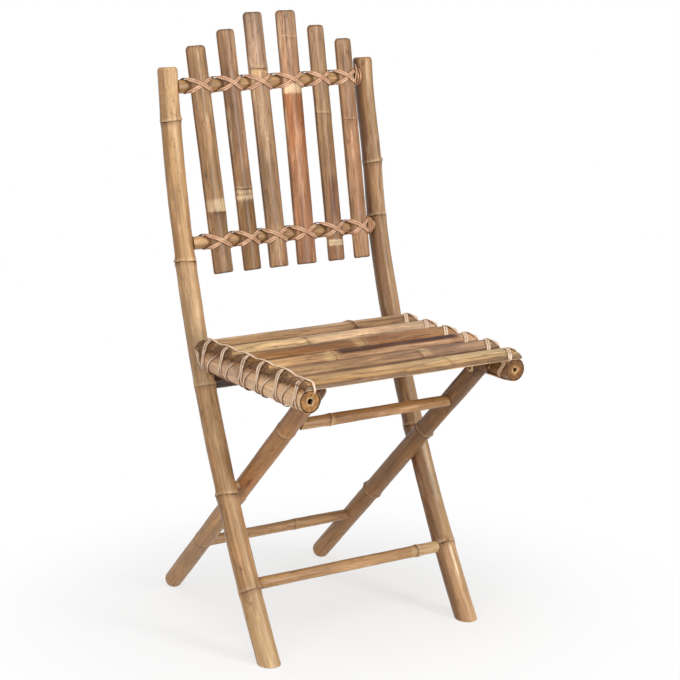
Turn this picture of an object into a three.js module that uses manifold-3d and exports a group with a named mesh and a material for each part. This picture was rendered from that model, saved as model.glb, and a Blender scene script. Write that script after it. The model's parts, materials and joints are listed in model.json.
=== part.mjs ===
// Folding side chair made of bamboo poles and split bamboo slats, lashed with rattan cane.
// Millimetres, +Z up, the chair faces -Y. The origin lies on the floor under the middle of the chair.
import * as THREE from 'three';
import { mergeVertices } from 'three/addons/utils/BufferGeometryUtils.js';
import Module from 'manifold-3d';

const wasm = await Module();
wasm.setup();

// Clearances
const fitGap = 0.3;
const cutOverrun = 4;

// Rear legs: straight, from the rear feet to the front of the seat
const legHalfSpread = 152;
const legRadius = 15.3;
const legPastSeatPin = 2.5;
const legFootFlat = 1.6;

// Posts: outboard of the legs, each one is a front foot, and leans and bows back to the top of the back
const postHeight = 917;
const postLean = 322.8;
const postBow = 61.2;
const postFootRadius = 18.3;
const postTopRadius = 16.2;
const postLegGap = 5.6;
const postSpreadTaper = 4.2;
const postHalfSpreadFoot = legHalfSpread + legRadius + postLegGap + postFootRadius;
const postHalfSpreadTop = postHalfSpreadFoot - postSpreadTaper;

// Pivots of the fold, measured from the front feet
const scissorHeight = 256.5;
const seatHeight = 457;
const scissorPinRadius = 6.5;
const scissorPinBite = 9;
const seatPinRadius = 6;
const seatPinProud = 2;
const seatPinWall = 9;
const seatPinPith = 1.7;
const seatPinPithDepth = 5;

// Rungs and rails between the posts and between the legs
const stretcherHeight = 111;
const stretcherRadius = 9.6;
const restBarDrop = 42;
const restBarHeight = seatHeight - restBarDrop;
const restBarRadius = 12;
const lowerBackRailRise = 177;
const upperBackRailDrop = 32;
const backRailHeights = [seatHeight + lowerBackRailRise, postHeight - upperBackRailDrop];
const backRailRadius = 11;
const backRailSetForward = 4;
const upperRungDrop = 64.5;
const rungHeights = [seatHeight - upperRungDrop, stretcherHeight];
const rungForward = [5.2, 0];
const rungRadius = 9.2;

// Seat rails, and the bar that locks the seat into the hooks
const seatRailRadius = 18.5;
const seatRailLegGap = 3.2;
const seatRailHalfSpread = legHalfSpread + legRadius + seatRailLegGap + seatRailRadius;
const seatRailFrontOverhang = 48;
const seatRailPostGap = 21.82;
const seatRailLength = 309;
const seatRailPith = 2.6;
const seatRailPithDepth = 9;
const crossBarRestBarReach = 56.7;
const crossBarDrop = 11.2;
const crossBarRadius = 6;

// Hooks on the rest bar
const hookLegGap = 24.7;
const hookHalfSpread = legHalfSpread - legRadius - hookLegGap;
const hookThickness = 8;
const hookWall = 6;
const hookLipRise = 1.6;
const hookTurnShares = [1.85, 0.6, -0.8, 1.4];

// Seat slats, laid across the rails
const seatSlatCount = 6;
const seatSlatFrontOverhang = 13;
const seatSlatRearOverhang = 21.8;
const seatSlatGap = 3;
const seatSlatPitch = (seatRailLength + seatSlatFrontOverhang + seatSlatRearOverhang + seatSlatGap)
  / seatSlatCount;
const seatSlatWidth = seatSlatPitch - seatSlatGap;
const seatSlatLeftReach = 18;
const seatSlatRightReach = 4;
const seatSlatLength = 2 * seatRailHalfSpread + seatSlatLeftReach + seatSlatRightReach;
const seatSlatEdge = 8;
const seatSlatCrown = 8;
const seatSlatHollow = 4.5;

// Back slats, lashed to the front of the back rails
const backSlatFootDrop = 53;
const backSlatTopRise = 82.5;
const backSlatFoot = backRailHeights[0] - backSlatFootDrop;
const backSlatTop = postHeight + backSlatTopRise;
const backSlatWidth = 37;
const backSlatEdge = 5;
const backSlatCrown = 6;
const backSlatHollow = 1.6;
const backSlatCorner = 5;
const backSlatTopShares = [0.949, 0.973, 0.999, 1, 0.974, 0.95];
const backSlatWidthShares = [0.955, 0.87, 0.945, 1, 0.835, 0.83];
const backSlatFootPlaceShares = [-0.672, -0.386, -0.121, 0.162, 0.469, 0.736];
const backSlatTopPlaceShares = [-0.737, -0.436, -0.155, 0.175, 0.467, 0.737];

// Rattan cane of the lashings
const caneRadius = 1;
const caneSides = 6;
const caneLayer = 3.6;
const caneTurnSpacing = 4;
const caneVeeSpread = 12.5;
const caneApexSpread = 4;
const caneCrownGap = 0.9;
const caneSlantShare = 0.72;
const caneCornerShare = 0.8;

// Bamboo poles: end bevels and the swelling at a node
const poleBevel = 2;
const nodeSwell = 0.8;
const nodeHalfWidth = 5;
const poleStep = 62;
const poleSides = 12;
const thinPoleSides = 12;
const pinSides = 12;
const leftPostNodeShares = [0.13, 0.29, 0.44, 0.66, 0.9];
const rightPostNodeShares = [0.12, 0.33, 0.52, 0.74, 0.93];
const leftLegNodeShares = [0.25, 0.7];
const rightLegNodeShares = [0.3, 0.62];
const stretcherNodeShares = [0.78];
const rungNodeShares = [0.34];

// Materials
const finish = { roughness: 0.55, metalness: 0 };
const poleTan = new THREE.MeshStandardMaterial({ color: 0xb8935f, ...finish });
const slatBrown = new THREE.MeshStandardMaterial({ color: 0xa67c52, ...finish });
const caneBuff = new THREE.MeshStandardMaterial({ color: 0xcfa173, roughness: 0.6, metalness: 0 });
const dowelWood = new THREE.MeshStandardMaterial({ color: 0xc4a070, roughness: 0.7, metalness: 0 });

const chair = new THREE.Group();
const sides = [['left', -1], ['right', 1]];
const acrossDir = new THREE.Vector3(1, 0, 0);

function addPiece(name, geometry, material) {
  const piece = new THREE.Mesh(geometry, material);
  piece.name = name;
  chair.add(piece);
  return piece;
}

// Places that follow from the driving sizes
function postDepthAt(height) {
  const share = height / postHeight;
  return postLean * share + 4 * postBow * share * (1 - share);
}

function postSpreadAt(height) {
  return THREE.MathUtils.lerp(postHalfSpreadFoot, postHalfSpreadTop, height / postHeight);
}

function postRadiusAt(height) {
  return THREE.MathUtils.lerp(postFootRadius, postTopRadius, height / postHeight);
}

const scissorPivot = new THREE.Vector3(0, postDepthAt(scissorHeight), scissorHeight);
const seatRailRear = postDepthAt(seatHeight) - postRadiusAt(seatHeight) - seatRailPostGap;
const seatRailFront = seatRailRear - seatRailLength;
const seatPivot = new THREE.Vector3(0, seatRailFront + seatRailFrontOverhang, seatHeight);
const legDir = seatPivot.clone().sub(scissorPivot).normalize();
const legFrontDir = new THREE.Vector3(0, -legDir.z, legDir.y);
const legFootPlace = (scissorHeight - legRadius + legFootFlat) / legDir.z + legRadius;
const legTopPlace = seatPivot.distanceTo(scissorPivot) + legPastSeatPin + legRadius;
const legLength = legFootPlace + legTopPlace;
const seatSlatUnderside = seatRailRadius + fitGap;

function legPoint(side, place) {
  const point = scissorPivot.clone().addScaledVector(legDir, place);
  point.x = side * legHalfSpread;
  return point;
}

// The slats of the back stand parallel to the line through the two back rails
const backRailCentres = backRailHeights.map(
  (height) => new THREE.Vector3(0, postDepthAt(height) - backRailSetForward, height));
const backUp = backRailCentres[1].clone().sub(backRailCentres[0]).normalize();
const backFront = new THREE.Vector3(0, -backUp.z, backUp.y);
const backSlatSeat = backRailRadius + fitGap;
const backSlatFace = backSlatSeat + backSlatEdge + backSlatCrown;

// Solid modelling with closed meshes
function toSolid(geometry) {
  const bare = geometry.clone();
  bare.deleteAttribute('normal');
  bare.deleteAttribute('uv');
  const merged = mergeVertices(bare);
  return new wasm.Manifold(new wasm.Mesh({
    numProp: 3,
    vertProperties: new Float32Array(merged.attributes.position.array),
    triVerts: new Uint32Array(merged.index.array),
  }));
}

function toGeometry(solid) {
  const mesh = solid.getMesh();
  const geometry = new THREE.BufferGeometry();
  geometry.setAttribute('position', new THREE.BufferAttribute(mesh.vertProperties, 3));
  geometry.setIndex(new THREE.BufferAttribute(mesh.triVerts, 1));
  geometry.computeVertexNormals();
  return geometry;
}

function cutAway(geometry, cutters) {
  let solid = toSolid(geometry);
  for (const cutter of cutters) solid = solid.subtract(toSolid(cutter));
  return toGeometry(solid);
}

// A cylinder along X between two places
function barAcross(fromX, toX, centre, radius, count) {
  const bar = new THREE.CylinderGeometry(radius, radius, Math.abs(toX - fromX), count);
  bar.rotateZ(Math.PI / 2);
  bar.translate((fromX + toX) / 2, centre.y, centre.z);
  return bar;
}

// A closed round body: rings of the given radii square to an axis, where a radius of zero is a point
function sweptRound(axisPoint, profile, count) {
  const positions = [];
  const index = [];
  const rings = profile.map(([place, radius]) => {
    const centre = axisPoint(place);
    const ahead = axisPoint(place + 1).sub(axisPoint(place - 1)).normalize();
    const normal = Math.abs(ahead.x) > Math.SQRT1_2 ? new THREE.Vector3(0, 0, 1) : acrossDir.clone();
    normal.addScaledVector(ahead, -normal.dot(ahead)).normalize();
    const binormal = new THREE.Vector3().crossVectors(ahead, normal);
    const first = positions.length / 3;
    const points = radius > 0 ? count : 1;
    for (let k = 0; k < points; k += 1) {
      const angle = (2 * Math.PI * k) / count;
      const point = centre.clone()
        .addScaledVector(normal, radius * Math.cos(angle))
        .addScaledVector(binormal, radius * Math.sin(angle));
      positions.push(point.x, point.y, point.z);
    }
    return { first, points };
  });
  for (let r = 0; r + 1 < rings.length; r += 1) {
    const low = rings[r];
    const high = rings[r + 1];
    for (let k = 0; k < count; k += 1) {
      const next = (k + 1) % count;
      const a = low.first + (low.points > 1 ? k : 0);
      const b = low.first + (low.points > 1 ? next : 0);
      const c = high.first + (high.points > 1 ? next : 0);
      const d = high.first + (high.points > 1 ? k : 0);
      if (low.points > 1) index.push(a, b, d);
      if (high.points > 1) index.push(b, c, d);
    }
  }
  const geometry = new THREE.BufferGeometry();
  geometry.setAttribute('position', new THREE.Float32BufferAttribute(positions, 3));
  geometry.setIndex(index);
  geometry.computeVertexNormals();
  return geometry;
}

// The long surface of a pole, from one end face to the other, with a swelling at each node
function poleSurface(from, to, startRadius, endRadius, nodeShares) {
  const radiusAt = (place) => THREE.MathUtils.mapLinear(place, from, to, startRadius, endRadius);
  const nodes = nodeShares.map((share) => THREE.MathUtils.lerp(from, to, share));
  const plain = [];
  const stepCount = Math.max(1, Math.round((to - from) / poleStep));
  for (let k = 1; k < stepCount; k += 1) {
    const place = THREE.MathUtils.lerp(from, to, k / stepCount);
    const clear = nodes.every((node) => Math.abs(node - place) > 2 * nodeHalfWidth);
    if (clear) plain.push([place, radiusAt(place)]);
  }
  const swollen = nodes.flatMap((node) => [
    [node - nodeHalfWidth, radiusAt(node)],
    [node, radiusAt(node) + nodeSwell],
    [node + nodeHalfWidth, radiusAt(node)],
  ]);
  return [...plain, ...swollen].sort((a, b) => a[0] - b[0]);
}

function cutEnd(place, radius, inward) {
  return [[place, 0], [place, radius - poleBevel], [place + inward * poleBevel, radius]];
}

function pithEnd(place, radius, inward, pith, depth) {
  return [
    [place + inward * depth, 0],
    [place + inward * depth, pith],
    [place, pith],
    [place, radius - poleBevel],
    [place + inward * poleBevel, radius],
  ];
}

function domeEnd(place, radius, inward) {
  const steps = [0, 1, 2, 3, 4];
  return steps.map((step) => {
    const angle = (step / steps.length) * (Math.PI / 2);
    return [place + inward * radius * (1 - Math.cos(angle)), radius * Math.sin(angle)];
  });
}

// A straight pole across the chair, its ends seated in the poles at both sides
function crossPole(halfLength, centre, radius, nodeShares) {
  const profile = [
    ...cutEnd(-halfLength, radius, 1),
    ...poleSurface(-halfLength + poleBevel, halfLength - poleBevel, radius, radius, nodeShares),
    ...cutEnd(halfLength, radius, -1).reverse(),
  ];
  return sweptRound((place) => new THREE.Vector3(place, centre.y, centre.z), profile, thinPoleSides);
}

// Socket from the inner side of a pole to just past its axis
function socket(side, axisX, centre, radius) {
  return barAcross(side * (axisX + fitGap), side * (axisX - 2 * postFootRadius), centre,
    radius + fitGap, thinPoleSides);
}

const stretcherCentre = new THREE.Vector3(0, postDepthAt(stretcherHeight), stretcherHeight);
const restBarCentre = new THREE.Vector3(0, postDepthAt(restBarHeight), restBarHeight);
const postPoles = [
  ['front_stretcher', stretcherCentre, stretcherRadius, stretcherNodeShares],
  ['seat_rest_bar', restBarCentre, restBarRadius, []],
  ['lower_back_rail', backRailCentres[0], backRailRadius, []],
  ['upper_back_rail', backRailCentres[1], backRailRadius, []],
];

// A socket's floor is square to the pole, so the tenon stops at the post's axis less the gap
for (const [name, centre, radius, nodeShares] of postPoles) {
  addPiece(name, crossPole(postSpreadAt(centre.z) - fitGap, centre, radius, nodeShares), poleTan);
}

function makePost(side, nodeShares) {
  const axis = (place) => new THREE.Vector3(side * postSpreadAt(place), postDepthAt(place), place);
  const below = -postFootRadius;
  const profile = [
    ...cutEnd(below, postFootRadius, 1),
    ...poleSurface(0, postHeight - poleBevel, postFootRadius, postTopRadius, nodeShares),
    ...cutEnd(postHeight, postTopRadius, -1).reverse(),
  ];
  const ground = new THREE.BoxGeometry(postHeight, postHeight, postHeight);
  ground.translate(0, 0, -postHeight / 2);
  const pinBore = barAcross(side * (postSpreadAt(scissorHeight) + scissorPinBite + fitGap),
    side * legHalfSpread, scissorPivot, scissorPinRadius + fitGap, pinSides);
  const sockets = postPoles.map(
    ([, centre, radius]) => socket(side, postSpreadAt(centre.z), centre, radius));
  return cutAway(sweptRound(axis, profile, poleSides), [ground, pinBore, ...sockets]);
}

addPiece('left_post', makePost(-1, leftPostNodeShares), poleTan);
addPiece('right_post', makePost(1, rightPostNodeShares), poleTan);

// Rungs between the rear legs
const rungCentres = rungHeights.map((height, k) => {
  const place = (height - scissorHeight) / legDir.z;
  return legPoint(0, place).addScaledVector(legFrontDir, rungForward[k]);
});
const rungReach = legHalfSpread - fitGap;
addPiece('upper_leg_rung', crossPole(rungReach, rungCentres[0], rungRadius, rungNodeShares), poleTan);
addPiece('lower_leg_rung', crossPole(rungReach, rungCentres[1], rungRadius, []), poleTan);

function makeLeg(side, nodeShares) {
  const axis = (place) => legPoint(side, place);
  const profile = [
    ...domeEnd(-legFootPlace, legRadius, 1),
    ...poleSurface(-legFootPlace + legRadius, legTopPlace - legRadius, legRadius, legRadius, nodeShares),
    ...domeEnd(legTopPlace, legRadius, -1).reverse(),
  ];
  const ground = new THREE.BoxGeometry(legLength, 2 * legLength, legLength);
  ground.translate(side * legHalfSpread, 0, -legLength / 2);
  const scissorBore = barAcross(side * (legHalfSpread - scissorPinBite - fitGap),
    side * (legHalfSpread + legRadius + cutOverrun), scissorPivot, scissorPinRadius + fitGap, pinSides);
  const seatBore = barAcross(side * (legHalfSpread - legRadius - cutOverrun),
    side * (legHalfSpread + legRadius + cutOverrun), seatPivot, seatPinRadius + fitGap, pinSides);
  const sockets = rungCentres.map((centre) => socket(side, legHalfSpread, centre, rungRadius));
  return cutAway(sweptRound(axis, profile, poleSides), [ground, scissorBore, seatBore, ...sockets]);
}

addPiece('left_rear_leg', makeLeg(-1, leftLegNodeShares), poleTan);
addPiece('right_rear_leg', makeLeg(1, rightLegNodeShares), poleTan);

// Seat rails and the locking bar between them
const crossBarCentre = new THREE.Vector3(0, restBarCentre.y - crossBarRestBarReach,
  seatHeight - crossBarDrop);

function makeSeatRail(side) {
  const profile = [
    ...pithEnd(0, seatRailRadius, 1, seatRailPith, seatRailPithDepth),
    ...poleSurface(poleBevel, seatRailLength - poleBevel, seatRailRadius, seatRailRadius, []),
    ...pithEnd(seatRailLength, seatRailRadius, -1, seatRailPith, seatRailPithDepth).reverse(),
  ];
  const axis = (place) => new THREE.Vector3(side * seatRailHalfSpread, seatRailFront + place, seatHeight);
  const pinBore = barAcross(side * (seatRailHalfSpread - seatRailRadius - cutOverrun),
    side * (seatRailHalfSpread + seatRailRadius - seatPinWall + fitGap), seatPivot,
    seatPinRadius + fitGap, pinSides);
  const barSocket = socket(side, seatRailHalfSpread, crossBarCentre, crossBarRadius);
  return cutAway(sweptRound(axis, profile, poleSides), [pinBore, barSocket]);
}

for (const [word, side] of sides) addPiece(`${word}_seat_rail`, makeSeatRail(side), poleTan);
addPiece('seat_cross_bar',
  crossPole(seatRailHalfSpread - fitGap, crossBarCentre, crossBarRadius, []), poleTan);

// Pins of the two pivots
function seatPinGeometry(side) {
  const inner = legHalfSpread - legRadius - seatPinProud;
  const outer = seatRailHalfSpread + seatRailRadius - seatPinWall;
  const profile = [
    [inner + seatPinPithDepth, 0],
    [inner + seatPinPithDepth, seatPinPith],
    [inner, seatPinPith],
    [inner, seatPinRadius],
    [outer, seatPinRadius],
    [outer, 0],
  ];
  const placed = side > 0 ? profile : profile.map(([place, radius]) => [-place, radius]).reverse();
  return sweptRound((place) => new THREE.Vector3(place, seatPivot.y, seatPivot.z), placed, pinSides);
}

for (const [word, side] of sides) {
  const outer = side * (postSpreadAt(scissorHeight) + scissorPinBite);
  const inner = side * (legHalfSpread - scissorPinBite);
  const scissorPin = barAcross(inner, outer, scissorPivot, scissorPinRadius, pinSides);
  addPiece(`${word}_scissor_pin`, scissorPin, dowelWood);
  addPiece(`${word}_seat_pin`, seatPinGeometry(side), dowelWood);
}

// Hooks: a plate threaded on the rest bar, with a cradle that is open upwards and backwards
function hookGeometry() {
  const [cradleEnd, ringStart, ringEnd, armUnder] = hookTurnShares.map((share) => share * Math.PI);
  const ringRadius = restBarRadius + fitGap + hookWall;
  const cradleRadius = crossBarRadius + fitGap;
  const outerRadius = cradleRadius + hookWall;
  const lipTop = crossBarCentre.z + hookLipRise;
  const lipAngle = Math.PI - Math.asin(hookLipRise / cradleRadius);
  const { y: barY, z: barZ } = crossBarCentre;
  const { y: ringY, z: ringZ } = restBarCentre;
  const outline = new THREE.Shape();
  outline.moveTo(barY - outerRadius, lipTop);
  outline.lineTo(barY + cradleRadius * Math.cos(lipAngle), lipTop);
  outline.absarc(barY, barZ, cradleRadius, lipAngle, cradleEnd, false);
  outline.absarc(ringY, ringZ, ringRadius, ringStart, ringEnd, true);
  outline.absarc(barY, barZ, outerRadius, armUnder, Math.PI, true);
  const bore = new THREE.Path();
  bore.absarc(ringY, ringZ, restBarRadius + fitGap, 0, Math.PI * 2, false);
  outline.holes.push(bore);
  const plate = new THREE.ExtrudeGeometry(outline, {
    depth: hookThickness, bevelEnabled: false, curveSegments: thinPoleSides,
  });
  plate.translate(0, 0, -hookThickness / 2);
  plate.applyMatrix4(new THREE.Matrix4().makeBasis(
    new THREE.Vector3(0, 1, 0), new THREE.Vector3(0, 0, 1), acrossDir));
  return plate;
}

for (const [word, side] of sides) {
  const hook = addPiece(`${word}_seat_hook`, hookGeometry(), dowelWood);
  hook.position.x = side * hookHalfSpread;
}

// Section of a split culm: flat sides, a crowned face and a hollow back
function arcPoints(halfWidth, base, rise, steps) {
  const radius = (halfWidth ** 2 + rise ** 2) / (2 * rise);
  const points = [];
  for (let k = 0; k <= steps; k += 1) {
    const across = THREE.MathUtils.lerp(-halfWidth, halfWidth, k / steps);
    points.push(new THREE.Vector2(across, base + rise - radius + Math.sqrt(radius ** 2 - across ** 2)));
  }
  return points;
}

function splitCulm(width, edge, crown, hollow) {
  const face = arcPoints(width / 2, edge, crown, 8);
  const back = arcPoints(width / 2, 0, hollow, 4);
  return new THREE.Shape([...face.reverse(), ...back]);
}

// Seat slats, numbered from the back to the front
function seatSlatCentre(number) {
  return seatRailRear + seatSlatRearOverhang - seatSlatWidth / 2 - (number - 1) * seatSlatPitch;
}

for (let number = 1; number <= seatSlatCount; number += 1) {
  const slat = new THREE.ExtrudeGeometry(
    splitCulm(seatSlatWidth, seatSlatEdge, seatSlatCrown, seatSlatHollow),
    { depth: seatSlatLength, bevelEnabled: false });
  slat.translate(0, 0, -seatRailHalfSpread - seatSlatLeftReach);
  slat.applyMatrix4(new THREE.Matrix4().makeBasis(
    new THREE.Vector3(0, 1, 0), new THREE.Vector3(0, 0, 1), acrossDir));
  const piece = addPiece(`seat_slat_${number}`, slat, slatBrown);
  piece.position.set(0, seatSlatCentre(number), seatHeight + seatSlatUnderside);
}

// Back slats, numbered from left to right
function roundedOutline(width, length, corner) {
  const outline = new THREE.Shape();
  const half = width / 2;
  outline.moveTo(-half + corner, 0);
  outline.lineTo(half - corner, 0);
  outline.absarc(half - corner, corner, corner, -Math.PI / 2, 0, false);
  outline.absarc(half - corner, length - corner, corner, 0, Math.PI / 2, false);
  outline.absarc(-half + corner, length - corner, corner, Math.PI / 2, Math.PI, false);
  outline.absarc(-half + corner, corner, corner, Math.PI, Math.PI * 1.5, false);
  return outline;
}

function backSlatPoint(height, placeShare) {
  const along = (height - backRailCentres[0].z) / backUp.z;
  const point = backRailCentres[0].clone().addScaledVector(backUp, along);
  point.x = placeShare * postHalfSpreadFoot;
  return point;
}

const backSlats = backSlatTopShares.map((topShare, k) => {
  const foot = backSlatPoint(backSlatFoot, backSlatFootPlaceShares[k]);
  const top = backSlatPoint(backSlatTop * topShare, backSlatTopPlaceShares[k]);
  return { foot, top, width: backSlatWidth * backSlatWidthShares[k] };
});

backSlats.forEach(({ foot, top, width }, k) => {
  const length = foot.distanceTo(top);
  const along = top.clone().sub(foot).normalize();
  const across = new THREE.Vector3().crossVectors(backFront, along);
  const section = new THREE.ExtrudeGeometry(
    splitCulm(width, backSlatEdge, backSlatCrown, backSlatHollow), { depth: length, bevelEnabled: false });
  const face = new THREE.ExtrudeGeometry(
    roundedOutline(width + fitGap, length, backSlatCorner),
    { depth: 2 * backSlatFace, bevelEnabled: false, curveSegments: 3 });
  face.translate(0, 0, -backSlatFace);
  face.rotateX(Math.PI / 2);
  const slat = toGeometry(toSolid(section).intersect(toSolid(face)));
  slat.applyMatrix4(new THREE.Matrix4().makeBasis(across, backFront, along));
  const piece = addPiece(`back_slat_${k + 1}`, slat, slatBrown);
  piece.position.copy(foot).addScaledVector(backFront, backSlatSeat);
});

// A lashing is one unbroken cane, with a ring of its section at each point of the route
function caneTube(points) {
  const positions = [];
  const index = [];
  let normal = new THREE.Vector3(0, 0, 1);
  points.forEach((point, k) => {
    const before = points[Math.max(k - 1, 0)];
    const after = points[Math.min(k + 1, points.length - 1)];
    const ahead = after.clone().sub(before).normalize();
    normal = normal.clone().addScaledVector(ahead, -normal.dot(ahead)).normalize();
    const binormal = new THREE.Vector3().crossVectors(ahead, normal);
    for (let j = 0; j < caneSides; j += 1) {
      const angle = (2 * Math.PI * j) / caneSides;
      const corner = point.clone()
        .addScaledVector(normal, caneRadius * Math.cos(angle))
        .addScaledVector(binormal, caneRadius * Math.sin(angle));
      positions.push(corner.x, corner.y, corner.z);
    }
  });
  const last = (points.length - 1) * caneSides;
  for (let k = 0; k < last; k += caneSides) {
    for (let j = 0; j < caneSides; j += 1) {
      const a = k + j;
      const b = k + ((j + 1) % caneSides);
      index.push(a, b, a + caneSides, b, b + caneSides, a + caneSides);
    }
  }
  for (let j = 1; j + 1 < caneSides; j += 1) {
    index.push(0, j + 1, j);
    index.push(last, last + j, last + j + 1);
  }
  const geometry = new THREE.BufferGeometry();
  geometry.setAttribute('position', new THREE.Float32BufferAttribute(positions, 3));
  geometry.setIndex(index);
  geometry.computeVertexNormals();
  return { geometry, gap: leastGap(points) };
}

// Least gap of a cane to itself, between stretches that lie more than a few diameters apart along it
function leastGap(samples) {
  const run = [0];
  for (let k = 1; k < samples.length; k += 1) run.push(run[k - 1] + samples[k].distanceTo(samples[k - 1]));
  let least = Infinity;
  for (let i = 0; i + 1 < samples.length; i += 1) {
    for (let j = i + 2; j + 1 < samples.length; j += 1) {
      if (run[j] - run[i + 1] < 6 * caneRadius) continue;
      least = Math.min(least, segmentGap(samples[i], samples[i + 1], samples[j], samples[j + 1]));
    }
  }
  return least - 2 * caneRadius;
}

function segmentGap(a, b, c, d) {
  const u = b.clone().sub(a);
  const v = d.clone().sub(c);
  let best = Infinity;
  for (const share of [0, 0.25, 0.5, 0.75, 1]) {
    const p = a.clone().addScaledVector(u, share);
    const t = THREE.MathUtils.clamp(p.clone().sub(c).dot(v) / v.lengthSq(), 0, 1);
    best = Math.min(best, p.distanceTo(c.clone().addScaledVector(v, t)));
  }
  return best;
}

// Height of a crowned face above its flat back, at a place across it
function crownHeight(across, halfWidth, edge, crown) {
  const radius = (halfWidth ** 2 + crown ** 2) / (2 * crown);
  const inside = Math.min(Math.abs(across), halfWidth);
  return edge + crown - radius + Math.sqrt(radius ** 2 - inside ** 2);
}

// Back lashing: one pass to the right rising over each slat, and a second pass back over the first
function backLashing(railCentre) {
  const spots = backSlats.map(({ foot, top, width }) => {
    const share = (railCentre.z - foot.z) / (top.z - foot.z);
    return { x: THREE.MathUtils.lerp(foot.x, top.x, share), half: width / 2 };
  });
  const postFace = postSpreadAt(railCentre.z) - postFootRadius;
  const edges = [-postFace, ...spots.flatMap(({ x, half }) => [x - half, x + half]), postFace];
  const gapMiddle = (k) => (edges[2 * k] + edges[2 * k + 1]) / 2;
  const turnStep = Math.PI / 4;
  const hug = backRailRadius + fitGap + caneRadius;
  const points = [];
  const put = (x, up, front) => points.push(
    railCentre.clone().addScaledVector(backUp, up).addScaledVector(backFront, front).setX(x));
  for (const [direction, lift] of [[1, 0], [-1, caneLayer]]) {
    const order = spots.map((spot, k) => (direction > 0 ? k : spots.length - 1 - k));
    const reach = (hug + lift) / Math.cos(turnStep / 2);
    const slant = reach * Math.SQRT1_2;
    for (const k of order) {
      const { x, half } = spots[k];
      const leave = gapMiddle(direction > 0 ? k + 1 : k);
      for (const share of [-1, -0.5, 0, 0.5, 1]) {
        const front = backSlatSeat + caneRadius + caneCrownGap + lift
          + crownHeight(share * half, half, backSlatEdge, backSlatCrown);
        put(x + direction * share * half, share * slant * caneSlantShare, front);
      }
      for (let turn = 1; turn <= 7; turn += 1) {
        const angle = turn * turnStep;
        put(leave, reach * Math.sin(angle), reach * Math.cos(angle));
      }
    }
  }
  return caneTube(points);
}

// Seat lashing: over every slat end a vee of two strands, which come up through the gaps beside the slat
function seatLashing(side, slatReach) {
  const hug = seatRailRadius + fitGap + caneRadius;
  const turnStep = Math.PI / 6;
  const reach = hug / Math.cos(turnStep / 2);
  const low = reach * Math.sin(turnStep / 2);
  const endOut = slatReach + fitGap + caneRadius;
  const shoulder = Math.max(turnStep / 2, Math.acos(Math.min(1, endOut / reach)));
  const shoulderTurns = Math.max(1, Math.ceil((shoulder - turnStep / 2) / turnStep));
  const half = seatSlatWidth / 2;
  const gapHalf = seatSlatPitch / 2;
  const topOver = (across) => seatSlatUnderside + caneRadius + caneCrownGap
    + crownHeight(across, half, seatSlatEdge, seatSlatCrown);
  const points = [];
  const put = (out, y, up) => points.push(
    new THREE.Vector3(side * (seatRailHalfSpread + out), y, seatHeight + up));
  const underPass = (fromY, toY, turns, lift = 0) => {
    for (let turn = 1; turn <= turns; turn += 1) {
      const angle = -(turn - 0.5) * turnStep;
      const y = THREE.MathUtils.lerp(fromY, toY, Math.min(1, turn / 4));
      put((reach + lift) * Math.cos(angle), y, (reach + lift) * Math.sin(angle));
    }
  };
  // From the slat's end down the outer side of the rail
  const sidePass = (y) => {
    for (let turn = 0; turn <= shoulderTurns; turn += 1) {
      const angle = THREE.MathUtils.lerp(shoulder, turnStep / 2, turn / shoulderTurns);
      put(Math.max(endOut, reach * Math.cos(angle)), y, reach * Math.sin(angle));
    }
  };
  // The cane starts under the rail's rear end, outside the next strand, and rises over the rear corner
  const firstMiddle = seatSlatCentre(1);
  underPass(seatRailRear, seatRailRear - caneVeeSpread, 3, caneLayer);
  points.reverse();
  put(endOut, firstMiddle + half * caneCornerShare, seatSlatUnderside);
  put(endOut, firstMiddle + half * caneCornerShare, topOver(half * caneCornerShare));
  put(slatReach / 2, firstMiddle + half / 2, topOver(half / 2));
  for (let number = 1; number <= seatSlatCount; number += 1) {
    const middle = seatSlatCentre(number);
    for (const way of [1, -1]) {
      const gapY = middle + way * gapHalf;
      const apexY = middle + way * caneApexSpread;
      const column = -hug + (way > 0 ? caneTurnSpacing : 0);
      const atFront = number === seatSlatCount && way < 0;
      const innerY = atFront ? seatRailFront + caneVeeSpread : gapY - way * caneVeeSpread;
      if (number > 1 || way < 0) {
        const lastY = points[points.length - 1].y;
        underPass(lastY, innerY, 6);
        put(-hug, innerY, low + fitGap);
        put(column, gapY, seatSlatUnderside - caneRadius);
        put(column, gapY, topOver(half));
        put(column / 2, middle + way * half / 2, topOver(half / 2));
      }
      put(endOut, apexY, topOver(0));
      sidePass(apexY);
    }
  }
  underPass(points[points.length - 1].y, points[points.length - 1].y - caneVeeSpread, 4);
  return caneTube(points);
}

const lashings = [
  ['lower_back_lashing', backLashing(backRailCentres[0])],
  ['upper_back_lashing', backLashing(backRailCentres[1])],
  ['left_seat_lashing', seatLashing(-1, seatSlatLeftReach)],
  ['right_seat_lashing', seatLashing(1, seatSlatRightReach)],
];
for (const [name, { geometry, gap }] of lashings) {
  addPiece(name, geometry, caneBuff);
  console.log(`${name}: least gap to itself ${gap.toFixed(2)} mm`);
}

// The frame's origin: on the floor, midway between the front and rear ends of the chair
const bounds = new THREE.Box3().setFromObject(chair);
chair.position.y = -(bounds.min.y + bounds.max.y) / 2;
console.log(`depth offset ${chair.position.y.toFixed(3)} mm`);

export default chair;
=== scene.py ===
"""Looks of a folding side chair of bamboo poles and split bamboo, lashed with rattan cane.

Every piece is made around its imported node. Metres, +Z up, the chair faces -Y.
A joint of the bamboo itself is called a knot here, to keep it apart from the frame's nodes.
"""

import json
import math

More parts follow.
